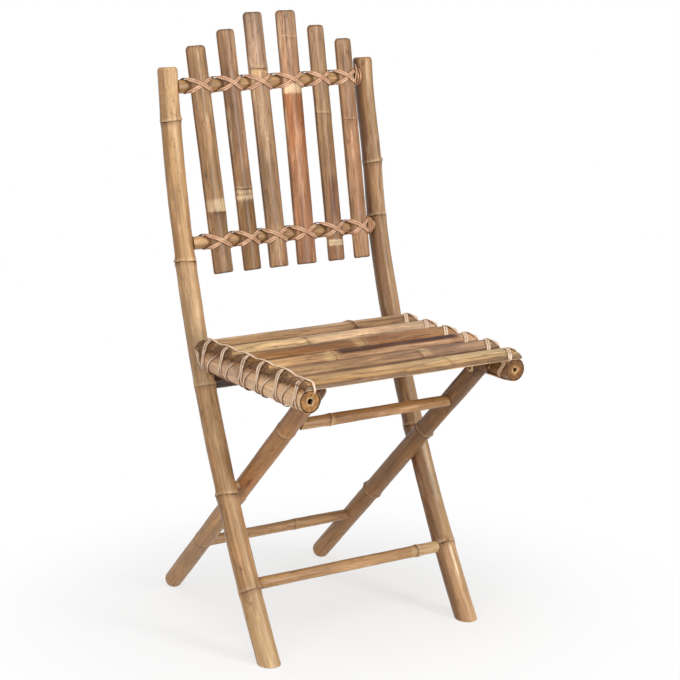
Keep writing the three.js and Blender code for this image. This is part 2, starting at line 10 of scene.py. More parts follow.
import bpy
import numpy as np
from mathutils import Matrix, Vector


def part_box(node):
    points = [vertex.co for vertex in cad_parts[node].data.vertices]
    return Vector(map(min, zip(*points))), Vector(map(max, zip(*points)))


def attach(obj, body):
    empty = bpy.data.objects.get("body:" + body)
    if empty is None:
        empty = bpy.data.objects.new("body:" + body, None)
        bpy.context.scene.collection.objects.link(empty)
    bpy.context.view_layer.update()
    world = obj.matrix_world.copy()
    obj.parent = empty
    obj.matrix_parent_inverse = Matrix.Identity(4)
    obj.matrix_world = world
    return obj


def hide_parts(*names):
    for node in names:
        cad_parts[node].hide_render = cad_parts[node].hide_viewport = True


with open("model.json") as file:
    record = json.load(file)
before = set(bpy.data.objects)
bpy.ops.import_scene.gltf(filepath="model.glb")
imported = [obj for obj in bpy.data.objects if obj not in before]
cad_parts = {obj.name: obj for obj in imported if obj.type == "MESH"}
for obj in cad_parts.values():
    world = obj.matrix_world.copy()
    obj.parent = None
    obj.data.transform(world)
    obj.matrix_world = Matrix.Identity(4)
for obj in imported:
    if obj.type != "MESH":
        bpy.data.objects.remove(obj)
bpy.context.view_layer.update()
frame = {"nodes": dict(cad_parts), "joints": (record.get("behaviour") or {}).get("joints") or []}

MM = 0.001
TAU = 2 * math.pi
X_AXIS = np.array([1.0, 0.0, 0.0])
Y_AXIS = np.array([0.0, 1.0, 0.0])
Z_AXIS = np.array([0.0, 0.0, 1.0])
SIDES = (("left", -1), ("right", 1))
SLATS = range(6)
LAST_SLAT = SLATS[-1]

# Driving sizes of the poles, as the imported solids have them
POST_HEIGHT = 917 * MM
POST_LEAN = 322.8 * MM
POST_BOW = 61.2 * MM
POST_SPREAD = (191.2 * MM, 187 * MM)
POST_RADII = (18.3 * MM, 16.2 * MM)
LEG_SPREAD = 152 * MM
LEG_RADIUS = 15.3 * MM
LEG_PAST_PIN = 2.5 * MM
LEG_FOOT_FLAT = 1.6 * MM
RUNG_RADIUS = 9.2 * MM
RAIL_RADIUS = 18.5 * MM
BACK_RAIL_RADIUS = 11 * MM
SLAT_GAP_TO_RAIL = 0.3 * MM
SEAT_SLAT_EDGE = 8 * MM
BACK_SLAT_EDGE = 5 * MM

# Sizes that only this scene has
POST_BOWS_OUT = {-1: 0, 1: 5 * MM}
BOW_OUT_HEIGHT = 755 * MM
BOW_OUT_REACH = 85 * MM
LAST_SLAT_LOWER = 3.6 * MM
RING_STEP = 6 * MM
BEND_REACH = 45 * MM
SLAT_STEP = 4 * MM
SLAT_RIM = 0.7 * MM
KNOT_REACH = 14.5 * MM
COPE_SINK = 0.8 * MM
CANE = 1.3 * MM
CANE_LAYER = 1.5 * MM
CANE_STEP = 1.6 * MM
CANE_LIFT = 0.15 * MM


# Places from the frame

def node_box(node):
    low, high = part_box(node)
    return np.array(low), np.array(high)


def node_middle(node):
    low, high = node_box(node)
    return (low + high) / 2


def unit(vectors):
    return vectors / np.linalg.norm(vectors, axis=-1, keepdims=True)


def lerp(a, b, share):
    return a + (b - a) * share


def at_x(point, x):
    return np.array([x, point[1], point[2]])


pivots = {joint["name"]: np.array(joint["pos_m"]) for joint in frame["joints"]}
scissor_pivot = pivots["scissor"]
seat_pivot = pivots["seat_fold"]
leg_up = unit(seat_pivot - scissor_pivot)


def post_curve(height):
    share = height / POST_HEIGHT
    return POST_LEAN * share + 4 * POST_BOW * share * (1 - share)


post_front = scissor_pivot[1] - post_curve(scissor_pivot[2])


def post_spread_at(height):
    return lerp(POST_SPREAD[0], POST_SPREAD[1], height / POST_HEIGHT)


def post_axis(side):
    def axis(place):
        bowed = POST_BOWS_OUT[side] * hump(place - BOW_OUT_HEIGHT, BOW_OUT_REACH)
        return np.stack([side * (post_spread_at(place) + bowed), post_front + post_curve(place), place], -1)
    return axis


def post_radius(place):
    return lerp(POST_RADII[0], POST_RADII[1], place / POST_HEIGHT)


def post_direction(height):
    step = 1 * MM
    return unit(np.array([0, post_curve(height + step) - post_curve(height - step), 2 * step]))


def straight_axis(start, direction):
    return lambda place: start + place[..., None] * direction


def cross_axis(node):
    """A line along X through the middle of a node."""
    return straight_axis(at_x(node_middle(node), 0), X_AXIS)


# Small functions of shape and colour

def smooth_step(low, high, value):
    share = np.clip((value - low) / (high - low), 0, 1)
    return share * share * (3 - 2 * share)


def between(value, low, high, soft):
    """1 from low to high and 0 outside, with soft edges."""
    return smooth_step(low - soft, low + soft, value) * (1 - smooth_step(high - soft, high + soft, value))


def hump(value, width):
    return np.exp(-(value / width) ** 2)


def wobble(value, period, seed):
    """Slow uneven waves between about -1 and 1, always the same for a seed."""
    phases = np.random.default_rng(seed).uniform(0, TAU, 3)
    waves = [np.sin(TAU * value / (period * stretch) + phase)
             for stretch, phase in zip((1, 0.61, 0.37), phases)]
    return (waves[0] + 0.6 * waves[1] + 0.35 * waves[2]) / 1.95


def turn_between(angle, other):
    """Signed angle from one direction to another, within half a turn."""
    return (angle - other + math.pi) % TAU - math.pi


def colour(code):
    """Linear colour of an sRGB hex code."""
    channels = np.array([int(code[k:k + 2], 16) for k in (0, 2, 4)]) / 255
    return np.where(channels <= 0.04045, channels / 12.92, ((channels + 0.055) / 1.055) ** 2.4)


def blend_to(paint, code, weight):
    return paint + (colour(code) - paint) * np.clip(weight, 0, 1)[..., None]


def tones_along(share, tones):
    """Colour along a piece, from stops of share and hex code."""
    stops = [stop for stop, _ in tones]
    codes = np.array([colour(code) for _, code in tones])
    return np.stack([np.interp(share, stops, codes[:, k]) for k in range(3)], -1)


# Meshes: a piece is a list of lofts, each one a grid of rings with colour, fibre place and cut share

def new_loft(points, paint, fibre, cut, cap):
    return {"points": points, "paint": np.clip(paint, 0, 1), "fibre": fibre, "cut": cut, "cap": cap}


def tube_faces(rings, sides):
    ring, side = np.meshgrid(np.arange(rings - 1), np.arange(sides), indexing="ij")
    after = (side + 1) % sides
    low, high = ring * sides, (ring + 1) * sides
    return np.stack([low + side, low + after, high + after, high + side], -1).reshape(-1, 4)


def strip_faces(first, sides, outward):
    """Cap of a loop whose second half runs back under the first."""
    faces = [[first + k, first + k + 1, first + sides - 2 - k, first + sides - 1 - k]
             for k in range(sides // 2 - 1)]
    return faces if outward else [face[::-1] for face in faces]


def fan_faces(first, sides, centre, outward):
    faces = [[first + k, first + (k + 1) % sides, centre] for k in range(sides)]
    return faces if outward else [face[::-1] for face in faces]


def loft_data(loft, offset):
    rings, sides = loft["points"].shape[:2]
    columns = {key: loft[key].reshape(rings * sides, -1) for key in ("points", "paint", "fibre", "cut")}
    faces = (tube_faces(rings, sides) + offset).tolist()
    last = offset + (rings - 1) * sides
    if loft["cap"] == "strip":
        faces += strip_faces(offset, sides, False) + strip_faces(last, sides, True)
    else:
        centre = offset + rings * sides
        for key, column in columns.items():
            columns[key] = np.concatenate([column, [column[:sides].mean(0), column[-sides:].mean(0)]])
        faces += fan_faces(offset, sides, centre, False) + fan_faces(last, sides, centre + 1, True)
    return columns, faces


def add_attribute(mesh, name, kind, key, values):
    made = mesh.attributes.new(name, kind, "POINT")
    made.data.foreach_set(key, values.astype(np.float32).ravel())


def make_piece(node, kind, lofts, body, material, sharp=38):
    """One object of all the lofts, in place of its node and moving with its body."""
    parts, faces, offset = [], [], 0
    for loft in lofts:
        columns, loft_faces = loft_data(loft, offset)
        parts.append(columns)
        faces += loft_faces
        offset += len(columns["points"])
    joined = {key: np.concatenate([part[key] for part in parts]) for key in parts[0]}
    name = f"{node}_{kind}"
    mesh = bpy.data.meshes.new(name)
    mesh.from_pydata(joined["points"].tolist(), [], faces)
    rgba = np.concatenate([joined["paint"], np.ones((offset, 1))], 1)
    add_attribute(mesh, "paint", "FLOAT_COLOR", "color", rgba)
    add_attribute(mesh, "fibre", "FLOAT_VECTOR", "vector", joined["fibre"])
    add_attribute(mesh, "cut", "FLOAT", "value", joined["cut"])
    mesh.shade_smooth()
    mesh.set_sharp_from_angle(angle=math.radians(sharp))
    mesh.materials.append(material)
    piece = bpy.data.objects.new(name, mesh)
    bpy.context.scene.collection.objects.link(piece)
    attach(piece, body)
    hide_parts(node)
    return piece


# Materials

class Shader:
    """The node tree of a material or a world, built by short calls that return sockets."""

    def __init__(self, owner):
        owner.use_nodes = True
        self.owner = owner
        self.tree = owner.node_tree
        self.surface = self.tree.nodes.get("Principled BSDF")

    def link(self, value, socket):
        if isinstance(value, bpy.types.NodeSocket):
            self.tree.links.new(value, socket)
        elif isinstance(value, str):
            socket.default_value = (*colour(value), 1)
        else:
            socket.default_value = value

    def node(self, kind, values=None, **settings):
        made = self.tree.nodes.new(kind)
        for key, value in settings.items():
            setattr(made, key, value)
        for key, value in (values or {}).items():
            self.link(value, made.inputs[key])
        return made

    def attribute(self, name, output):
        return self.node("ShaderNodeAttribute", attribute_name=name).outputs[output]

    def math(self, operation, first, second):
        return self.node("ShaderNodeMath", {0: first, 1: second}, operation=operation).outputs[0]

    def plus(self, first, second):
        return self.math("ADD", first, second)

    def times(self, first, second):
        return self.math("MULTIPLY", first, second)

    def ramp(self, value, low, high, out_low=0.0, out_high=1.0):
        return self.node("ShaderNodeMapRange", {
            "Value": value, "From Min": low, "From Max": high, "To Min": out_low, "To Max": out_high},
            interpolation_type="SMOOTHSTEP").outputs[0]

    def scaled(self, vector, scale):
        return self.node("ShaderNodeMapping", {"Vector": vector, "Scale": scale}).outputs[0]

    def stretched(self, vector, along):
        """Fibre coordinates with the long direction drawn out."""
        return self.scaled(vector, (1, 1, along))

    def noise(self, vector, scale, detail=2.0, roughness=0.5, distortion=0.0):
        return self.node("ShaderNodeTexNoise", {
            "Vector": vector, "Scale": scale, "Detail": detail, "Roughness": roughness,
            "Distortion": distortion}).outputs[0]

    def cells(self, vector, scale):
        return self.node("ShaderNodeTexVoronoi", {"Vector": vector, "Scale": scale}).outputs[0]

    def mix(self, share, first, second, mode="MIX"):
        return self.node("ShaderNodeMix", {0: share, 6: first, 7: second}, data_type="RGBA",
                         blend_type=mode).outputs[2]

    def brighten(self, tone, factor):
        """The colour times a number that varies over the surface."""
        return self.node("ShaderNodeVectorMath", {0: tone, 3: factor}, operation="SCALE").outputs[0]

    def bump(self, height, distance, below=None):
        made = self.node("ShaderNodeBump", {"Height": height, "Distance": distance, "Strength": 1.0})
        if below is not None:
            self.link(below, made.inputs["Normal"])
        return made.outputs[0]

    def surfaced(self, **values):
        """Sets the surface's sockets, with spaces for underscores, and returns the material."""
        for key, value in values.items():
            self.link(value, self.surface.inputs[key.replace("_", " ")])
        return self.owner


VARNISH = 0.2
VARNISH_TINT = (1.0, 0.955, 0.86, 1)


def bamboo_tone(shader, fibre, noises, streaks, mottle, bloom_and_sheen, hairs):
    """Culm wall: lengthwise streaks and hairs, stains, pale patches that stand for a natural powder and, on
    the back slats, for painted sheen, and dark specks over the painted tone.
    """
    coarse, fine, patches, stains = noises
    thin = shader.noise(shader.stretched(fibre, 0.05), 400, 3, 0.6, 0.15)
    bloom_sheen_noise = shader.noise(shader.stretched(fibre, 0.09), 120, 4, 0.7)
    factor = shader.plus(shader.ramp(coarse, 0.32, 0.68, 1 - streaks, 1 + streaks),
                         shader.ramp(fine, 0.25, 0.75, -0.5 * streaks, 0.5 * streaks))
    factor = shader.plus(factor, shader.ramp(patches, 0.3, 0.7, -mottle, mottle))
    tone = shader.brighten(shader.attribute("paint", "Color"), factor)
    dark_hairs = shader.times(shader.ramp(thin, 0.54, 0.68), shader.ramp(patches, 0.3, 0.6, 0.3, 1))
    tone = shader.mix(shader.times(dark_hairs, hairs), tone, "7a4f2e", "MULTIPLY")
    tone = shader.mix(shader.ramp(thin, 0.3, 0.44, 0.6 * hairs, 0), tone, shader.brighten(tone, 1.6))
    tone = shader.mix(shader.ramp(stains, 0.56, 0.74, 0, 0.55), tone, "7d5634", "MULTIPLY")
    # pale patches: natural powder, and where strong, as on the back slats, painted sheen
    bloom_sheen_mask = shader.times(shader.ramp(bloom_sheen_noise, 0.5, 0.66), shader.ramp(patches, 0.42, 0.6, 0.15, 1))
    bloom_sheen_tone = shader.mix(0.5, shader.brighten(tone, 1.7), "ead8be")
    tone = shader.mix(shader.times(bloom_sheen_mask, bloom_and_sheen), tone, bloom_sheen_tone)
    specks = shader.ramp(shader.cells(shader.stretched(fibre, 0.4), 240), 0.12, 0.24, 1, 0)
    specks = shader.times(specks, shader.ramp(stains, 0.48, 0.6, 0, 0.6))
    return shader.mix(specks, tone, "54331d")


def bamboo_material(name, streaks, mottle, bloom_and_sheen, hairs, gloss):
    """Varnished culm wall, and porous wood where it is cut."""
    shader = Shader(bpy.data.materials.new(name))
    fibre = shader.attribute("fibre", "Vector")
    cut = shader.attribute("cut", "Fac")
    long = shader.stretched(fibre, 0.035)
    medium = shader.stretched(fibre, 0.28)
    coarse = shader.noise(long, 190, 3, 0.6)
    fine = shader.noise(long, 1100, 2, 0.65)
    patches = shader.noise(medium, 42, 3, 0.6, 0.4)
    stains = shader.noise(medium, 95, 4, 0.65, 0.8)
    tone = bamboo_tone(shader, fibre, (coarse, fine, patches, stains), streaks, mottle, bloom_and_sheen, hairs)

    pores = shader.ramp(shader.cells(shader.stretched(fibre, 0.15), 750), 0.12, 0.42)
    blotches = shader.ramp(shader.noise(fibre, 190, 3, 0.65), 0.35, 0.65, 0.62, 1.18)
    porous = shader.brighten(shader.attribute("paint", "Color"), shader.ramp(pores, 0, 1, 0.62, 1.08))
    tone = shader.mix(cut, tone, shader.brighten(porous, blotches))
    tone = shader.mix(1.0, tone, VARNISH_TINT, "MULTIPLY")
    rough = shader.plus(shader.ramp(coarse, 0.3, 0.7, gloss - 0.06, gloss + 0.1),
                        shader.ramp(patches, 0.35, 0.65, 0, 0.1))
    rough = shader.math("MAXIMUM", rough, shader.times(cut, 0.8))
    skin = shader.bump(shader.plus(fine, shader.times(coarse, 0.8)), 0.00022)
    skin = shader.bump(shader.times(stains, shader.ramp(cut, 0, 1, 1, 0)), 0.0006, skin)
    skin = shader.bump(shader.times(pores, cut), 0.0005, skin)
    return shader.surfaced(Base_Color=tone, Roughness=rough, Normal=skin, Specular_IOR_Level=0.3,
                           Coat_Weight=VARNISH, Coat_Roughness=0.17)


def cane_material(name):
    """Split rattan: matt, with fine lengthwise ribs and darker patches."""
    shader = Shader(bpy.data.materials.new(name))
    fibre = shader.attribute("fibre", "Vector")
    ribs = shader.noise(shader.stretched(fibre, 0.02), 1500, 1, 0.5)
    grain = shader.noise(shader.stretched(fibre, 0.08), 420, 3, 0.6)
    patches = shader.noise(fibre, 70, 3, 0.6)
    factor = shader.plus(shader.ramp(ribs, 0.3, 0.7, 0.86, 1.08), shader.ramp(grain, 0.3, 0.7, -0.12, 0.1))
    tone = shader.brighten(shader.attribute("paint", "Color"), factor)
    tone = shader.mix(shader.ramp(patches, 0.48, 0.72, 0, 0.35), tone, "a8683a")
    height = shader.plus(ribs, shader.times(grain, 0.6))
    return shader.surfaced(Base_Color=tone, Roughness=shader.ramp(grain, 0.3, 0.7, 0.5, 0.7),
                           Normal=shader.bump(height, 0.00025), Specular_IOR_Level=0.2)


def plank_material(name):
    """Bare wood of the hooks, in the piece's own coordinates."""
    shader = Shader(bpy.data.materials.new(name))
    place = shader.node("ShaderNodeTexCoord").outputs["Object"]
    grain = shader.noise(shader.scaled(place, (1, 0.08, 1)), 420, 3, 0.6)
    patches = shader.noise(place, 60, 3, 0.6)
    tone = shader.mix(shader.ramp(grain, 0.3, 0.7), "8d6239", "c39a68")
    tone = shader.mix(shader.ramp(patches, 0.4, 0.7, 0, 0.5), tone, "7d5533")
    return shader.surfaced(Base_Color=tone, Roughness=shader.ramp(patches, 0.3, 0.7, 0.5, 0.7),
                           Normal=shader.bump(grain, 0.0004))


pole_skin = bamboo_material("pole_bamboo", streaks=0.17, mottle=0.13, bloom_and_sheen=0.45, hairs=0.4, gloss=0.4)
leg_skin = bamboo_material("leg_bamboo", streaks=0.17, mottle=0.13, bloom_and_sheen=0.15, hairs=0.4, gloss=0.46)
seat_skin = bamboo_material("seat_slat_bamboo", streaks=0.28, mottle=0.18, bloom_and_sheen=0.25, hairs=0.8, gloss=0.38)
# the back slats' many pale patches are painted sheen
back_skin = bamboo_material("back_slat_bamboo", streaks=0.22, mottle=0.17, bloom_and_sheen=0.5, hairs=0.6, gloss=0.38)
pin_wood = bamboo_material("pin_wood", streaks=0.2, mottle=0.1, bloom_and_sheen=0.2, hairs=0.3, gloss=0.6)
cane_skin = cane_material("rattan_cane")
hook_wood = plank_material("hook_wood")


# Relief and colour of a knot, by distance along the culm in millimetres

KNOT_FINE = np.concatenate([np.arange(-4.4, 4.5, 0.4),
                            [-14, -11, -8.5, -6.8, -5.4, 5.4, 6.8, 8.5, 11, 14]]) * MM


def knot_relief(distance):
    swelling = 0.9 * hump(distance - 1, 8)
    ridge = 0.4 * hump(distance - 2.4, 1.7)
    groove = -0.8 * hump(distance + 0.1, 0.8)
    lip = 0.2 * hump(distance + 2.2, 1.2)
    return (swelling + ridge + groove + lip) * MM


def knot_paint(paint, distance, strength):
    below = smooth_step(-10, -1.2, distance) * (distance < 0.2)
    paint = blend_to(paint, "7d5431", 0.55 * strength * below)
    paint = blend_to(paint, "e2c9a4", 0.4 * strength * hump(distance - 3.2, 2.2))
    return blend_to(paint, "3a2213", 0.92 * strength * hump(distance + 0.1, 0.95))


def finer_at_knots(plain, places):
    for place in places:
        plain = np.concatenate([plain[np.abs(plain - place) >= KNOT_REACH], place + KNOT_FINE])
    return np.sort(plain)


# Ends of a culm: depth from the end, share of the radius and share of cut wood, from the middle outwards

def round_end(depth, inset, radius):
    flat = 1 - inset / radius
    rows = [(0.9 * MM, 0.02, 1), (0.7 * MM, 0.3 * flat, 1), (0.35 * MM, 0.7 * flat, 1)]
    rows += [(depth * (1 - math.cos(turn)), flat + (1 - flat) * math.sin(turn), float(turn < 0.5))
             for turn in np.linspace(0, math.pi / 2, 7)]
    return np.array(rows)


def dome_end(radius):
    turns = np.linspace(0.06, 1, 11) * math.pi / 2
    return np.array([(radius * (1 - math.cos(turn)), math.sin(turn) ** 0.85, float(turn < 1.0) * 0.8)
                     for turn in turns])


def bevel_rows(radius, bevel):
    return [(0.3 * bevel, 1 - 0.3 * bevel / radius, 0.6), (bevel, 1, 0)]


def sawn_end(radius, bevel=1.0 * MM):
    flat = 1 - bevel / radius
    return np.array([(0, 0.02, 1), (0, 0.35, 1), (0, 0.7 * flat, 1), (0, 0.9 * flat, 1), (0, flat, 1),
                     *bevel_rows(radius, bevel)])


def pith_end(radius, pith, depth, bevel=0.9 * MM):
    hollow = pith / radius
    rows = [(depth, 0.1 * hollow, 1), (depth, 0.9 * hollow, 1), (0.7 * MM, hollow, 1), (0, 1.15 * hollow, 1)]
    rows += [(0, share, 1) for share in np.linspace(1.15 * hollow, 1 - bevel / radius, 10)[1:]]
    return np.array(rows + bevel_rows(radius, bevel))


# Culms

END_WOOD = ((0, "6b4526"), (0.16, "8c6238"), (0.5, "b88b58"), (0.86, "c79a66"),
            (0.95, "8f6238"), (1, "dcc09a"))
# dark dome ends of the legs; at the top, under the seat, this is painted shade
LEG_END_WOOD_AND_SHADE = ((0, "4a2e1a"), (0.5, "5e3c22"), (1, "7a5232"))


def culm_rings(span, ends, knots):
    """Place, share of the radius and share of cut wood of each ring, closer together at the knots."""
    low_end, high_end = ends
    first, last = span[0] + low_end[-1, 0], span[1] - high_end[-1, 0]
    plain = np.arange(first + 0.5 * RING_STEP, last - 0.3 * RING_STEP, RING_STEP)
    plain = finer_at_knots(plain, [knot["place"] for knot in knots])
    plain = plain[(plain > first + 0.2 * MM) & (plain < last - 0.2 * MM)]
    rows = [low_end + (span[0], 0, 0), np.stack([plain, np.ones(len(plain)), np.zeros(len(plain))], 1),
            (high_end * (-1, 1, 1) + (span[1], 0, 0))[::-1]]
    return np.concatenate(rows).T[..., None]


def culm_paint(place, angle, span, tones, lit_and_shaded_sides, patches, seed):
    """Tones along the culm, painted shade and painted highlight stripes down its sides, and ragged patches,
    of which some are painted highlight streaks.
    """
    paint = tones_along((place - span[0]) / (span[1] - span[0]), tones)
    paint *= (1 + 0.05 * wobble(place, 0.12, seed + 7))[..., None]
    # each side has a centre angle, tone, weight and width; dark ones are painted shade, pale ones painted
    # highlight stripes
    for centre, code, weight, width in lit_and_shaded_sides:
        facing = np.exp((np.cos(angle - math.radians(centre)) - 1) / width)
        paint = blend_to(paint, code, weight * facing + 0 * place)
    ragged = place + 6 * MM * wobble(angle * 0.02, 0.03, seed + 9)
    for low, high, centre, spread, code, weight in patches:
        around = turn_between(angle, math.radians(centre)) / math.radians(spread)
        paint = blend_to(paint, code, weight * between(ragged, low, high, 4 * MM) * hump(around, 1))
    return paint


def grow_bud(knot, distance, angle, size, grown, paint):
    """A bud above the knot, and the groove that it leaves in the culm."""
    across = turn_between(angle, math.radians(knot["bud"])) * size / MM
    bud = np.exp(-(across / (3.4 - 0.25 * np.clip(distance, 0, 8))) ** 2 - ((distance - 3.4) / 3.2) ** 2)
    groove = hump(across, 5) * smooth_step(4, 9, distance) * hump(np.maximum(distance - 9, 0), 70)
    grown = grown + 1.3 * MM * bud * knot.get("bud_size", 1) - 0.55 * MM * groove
    paint = blend_to(paint, "4a2d1a", 0.8 * np.exp(-(across / 2.2) ** 2 - ((distance - 2.6) / 2) ** 2))
    return grown, blend_to(paint, "a67c50", 0.3 * groove)


def grow_knot(knot, place, angle, size, sign, random, grown, shift, paint):
    """The culm swells, steps and darkens round a knot, and its rings tilt."""
    distance = (place - knot["place"]) / MM
    phase = random.uniform(0, TAU)
    strength = knot.get("strength", 1.0)
    shift = shift + hump(distance, 13) * MM * (
        knot.get("tilt", 0.9) * np.cos(angle - phase) + 0.45 * np.sin(3 * angle + phase)
        + 0.2 * np.sin(7 * angle + 2 * phase))
    vary = 1 + 0.18 * np.sin(2 * angle + phase) + 0.1 * np.sin(5 * angle)
    grown = grown + strength * knot_relief(distance) * vary
    above = smooth_step(-3, 3, distance) * hump(np.maximum(distance, 0), 120)
    grown = grown + sign * knot.get("step", 0.25) * MM * above
    fade = 0.75 + 0.25 * np.sin(3 * angle + 1.7 * phase) + 0.15 * np.sin(11 * angle)
    paint = knot_paint(paint, distance, strength * fade)
    paint = paint * (1 + 0.05 * random.uniform(-1, 1) * smooth_step(-2, 2, distance))[..., None]
    if "bud" in knot:
        grown, paint = grow_bud(knot, distance, angle, size, grown, paint)
    return grown, shift, paint


def culm(node, body, axis, span, radius, tones, ends, knots=(), lit_and_shaded_sides=(), patches=(), bends=(None, None),
         reference=X_AXIS, sides=48, seed=1, kind="culm", material=pole_skin,
         end_tones=END_WOOD, uneven=1.0):
    """A round culm along an axis, with its knots, buds, uneven growth and both ends."""
    places, shares, cuts = culm_rings(span, ends, knots)
    angle = (np.arange(sides) / sides * TAU)[None, :]
    place = places + 0 * angle
    random = np.random.default_rng(seed)
    bulge, twist = random.uniform(0, TAU, 2)
    size = radius(place) if callable(radius) else radius + 0 * place
    grown = size * (1 + uneven * (0.012 * np.cos(2 * (angle - bulge)) + 0.006 * np.cos(3 * (angle - twist))))
    grown += uneven * 0.3 * MM * wobble(place, 0.21, seed + 5)
    grown += uneven * 0.12 * MM * wobble(place + 0.02 * np.sin(angle + twist), 0.035, seed + 6)
    paint = culm_paint(place, angle, span, tones, lit_and_shaded_sides, patches, seed)
    shift = np.zeros_like(place)
    for number, knot in enumerate(sorted(knots, key=lambda item: item["place"])):
        grown, shift, paint = grow_knot(knot, place, angle, size, (-1) ** number, random, grown, shift, paint)

    reach = grown * shares
    beside, above = reach * np.cos(angle), reach * np.sin(angle)
    for bend, far in zip(bends, span):
        if bend:
            near_end = 1 - smooth_step(0, BEND_REACH, np.abs(place - far))
            shift = shift * (1 - near_end) + bend(beside, above) * near_end
    place = place + shift
    points, normal, binormal = axis_frame(axis, place, reference)
    points = points + beside[..., None] * normal + above[..., None] * binormal
    wood = tones_along(np.minimum(shares + 0.02 * wobble(angle, 1.1, seed), 1) + 0 * place, end_tones)
    paint = paint + (wood - paint) * cuts[..., None]
    fibre = np.stack([beside, above, place + 0.37 * seed], -1)
    loft = new_loft(points, paint, fibre, cuts + 0 * place, "fan")
    return make_piece(node, kind, [loft], body, material)


def axis_frame(axis, place, reference):
    """Points on an axis with the two directions square to it, the first one nearest the reference."""
    step = 0.5 * MM
    ahead = unit(axis(place + step) - axis(place - step))
    normal = unit(reference - ahead * (ahead @ reference)[..., None])
    return axis(place), normal, np.cross(ahead, normal)


def floor_cut(direction):
    """Moves an end's points onto the floor, for a culm that leans in the YZ plane and is placed by height."""
    return lambda beside, above: above * direction[1]


def coped(pole_up, pole_radius, sign):
    """Shapes the end of a cross pole to the round side of the pole that it meets."""
    def bend(up, front):
        across = up * pole_up[1] + front * pole_up[2]
        return sign * (pole_radius - np.sqrt(np.maximum(pole_radius ** 2 - across ** 2, 0)) + COPE_SINK)
    return bend


# Posts and legs

def make_posts():
    knots = {
        "left": [{"place": 102 * MM, "strength": 0.8},
                 {"place": 243 * MM, "strength": 0.9, "bud": 150, "tilt": 1.6},
                 {"place": 409 * MM, "strength": 0.7, "bud": 330},
                 {"place": 605 * MM, "bud": 148, "step": 0.4},
                 {"place": 829 * MM, "bud": 322, "strength": 1.05, "step": 0.4}],
        "right": [{"place": 114 * MM, "bud": 262, "bud_size": 1.5}, {"place": 300 * MM, "bud": 60},
                  {"place": 462 * MM, "strength": 0.7},
                  {"place": 647 * MM, "bud": 236, "bud_size": 1.3, "step": 0.4},
                  {"place": 737 * MM, "strength": 0.9, "bud": 328}]}
    tones = {
        "left": ((0, "c1a079"), (0.11, "b79269"), (0.115, "ad845a"), (0.26, "af865e"), (0.27, "a98159"),
                 (0.44, "b18b62"), (0.45, "b5926d"), (0.65, "b7936d"), (0.67, "ad845a"), (0.89, "b08a60"),
                 (0.91, "b48f68"), (1, "b8946e")),
        "right": ((0, "bd9670"), (0.12, "b9926c"), (0.13, "a88461"), (0.35, "a27e5c"), (0.7, "9c7856"),
                  (0.72, "a17d5a"), (0.79, "a17d5a"), (0.82, "967454"), (1, "9a7652"))}
    # the dark sides of the posts are painted shade, the narrow pale ones painted highlight stripes
    lit_and_shaded_sides = {
        "left": [(148, "8a6038", 0.45, 0.35), (20, "86603c", 0.25, 0.3), (262, "d8bd98", 0.3, 0.12)],
        "right": [(182, "6e4526", 0.75, 0.34), (285, "d2b492", 0.3, 0.1)]}
    # on the right post the pale streaks are painted highlights and the dark ones are marks
    highlights_and_marks = {
        "left": [],
        "right": [(60 * MM, 105 * MM, 268, 9, "ead8bd", 0.7), (175 * MM, 275 * MM, 272, 8, "e6d2b4", 0.7),
                  (330 * MM, 352 * MM, 240, 5, "4a2c18", 0.6), (640 * MM, 680 * MM, 205, 5, "5a371e", 0.6)]}
    ends = (sawn_end(POST_RADII[0]), round_end(7 * MM, 4.5 * MM, POST_RADII[1]))
    for word, side in SIDES:
        culm(f"{word}_post", "post_frame", post_axis(side), (0, POST_HEIGHT), post_radius, tones[word], ends,
             knots[word], lit_and_shaded_sides[word], highlights_and_marks[word], bends=(floor_cut(post_direction(0)), None), sides=56,
             seed=11 + side)


def make_legs():
    foot = -((scissor_pivot[2] - LEG_RADIUS + LEG_FOOT_FLAT) / leg_up[2] + LEG_RADIUS)
    top = np.linalg.norm(seat_pivot - scissor_pivot) + LEG_PAST_PIN + LEG_RADIUS
    knots = {
        "left": [{"place": -205 * MM, "strength": 0.7}, {"place": -42 * MM, "strength": 0.7, "bud": 40},
                 {"place": 176 * MM, "strength": 0.7}],
        "right": [{"place": -126 * MM, "strength": 1.1, "bud": 128, "step": 1.0},
                  {"place": 92 * MM, "strength": 0.9, "bud": 300}]}
    # the darkest stops at the top of each leg are painted shade under the seat
    tones = {
        "left": ((0, "b08a64"), (0.3, "ab8560"), (0.45, "ad835a"), (0.6, "a3764a"), (0.8, "9c7149"),
                 (0.95, "8f6540"), (1, "4a2c18")),
        "right": ((0, "b78c62"), (0.22, "a67e58"), (0.36, "a0764a"), (0.5, "916a44"), (0.7, "7f5a37"),
                  (0.95, "745232"), (1, "3e2412"))}
    rust = {"left": [(10 * MM, 34 * MM, 235, 26, "96502a", 0.6)], "right": []}
    ends = (dome_end(LEG_RADIUS), dome_end(LEG_RADIUS))
    for word, side in SIDES:
        start = scissor_pivot + X_AXIS * side * LEG_SPREAD
        # each leg's pale side is a painted highlight and its dark side painted shade
        leg = culm(f"{word}_rear_leg", "leg_frame", straight_axis(start, leg_up), (foot, top), LEG_RADIUS,
                   tones[word], ends, knots[word], [(330, "d0b08a", 0.2, 0.2), (120, "6f4a2c", 0.35, 0.4)],
                   rust[word], seed=23 + side, material=leg_skin, end_tones=LEG_END_WOOD_AND_SHADE)
        flatten_foot(leg)


def flatten_foot(piece):
    """The rounded foot is worn flat where it stands on the floor."""
    for vertex in piece.data.vertices:
        vertex.co.z = max(vertex.co.z, 0)


# Cross poles between the posts and between the legs

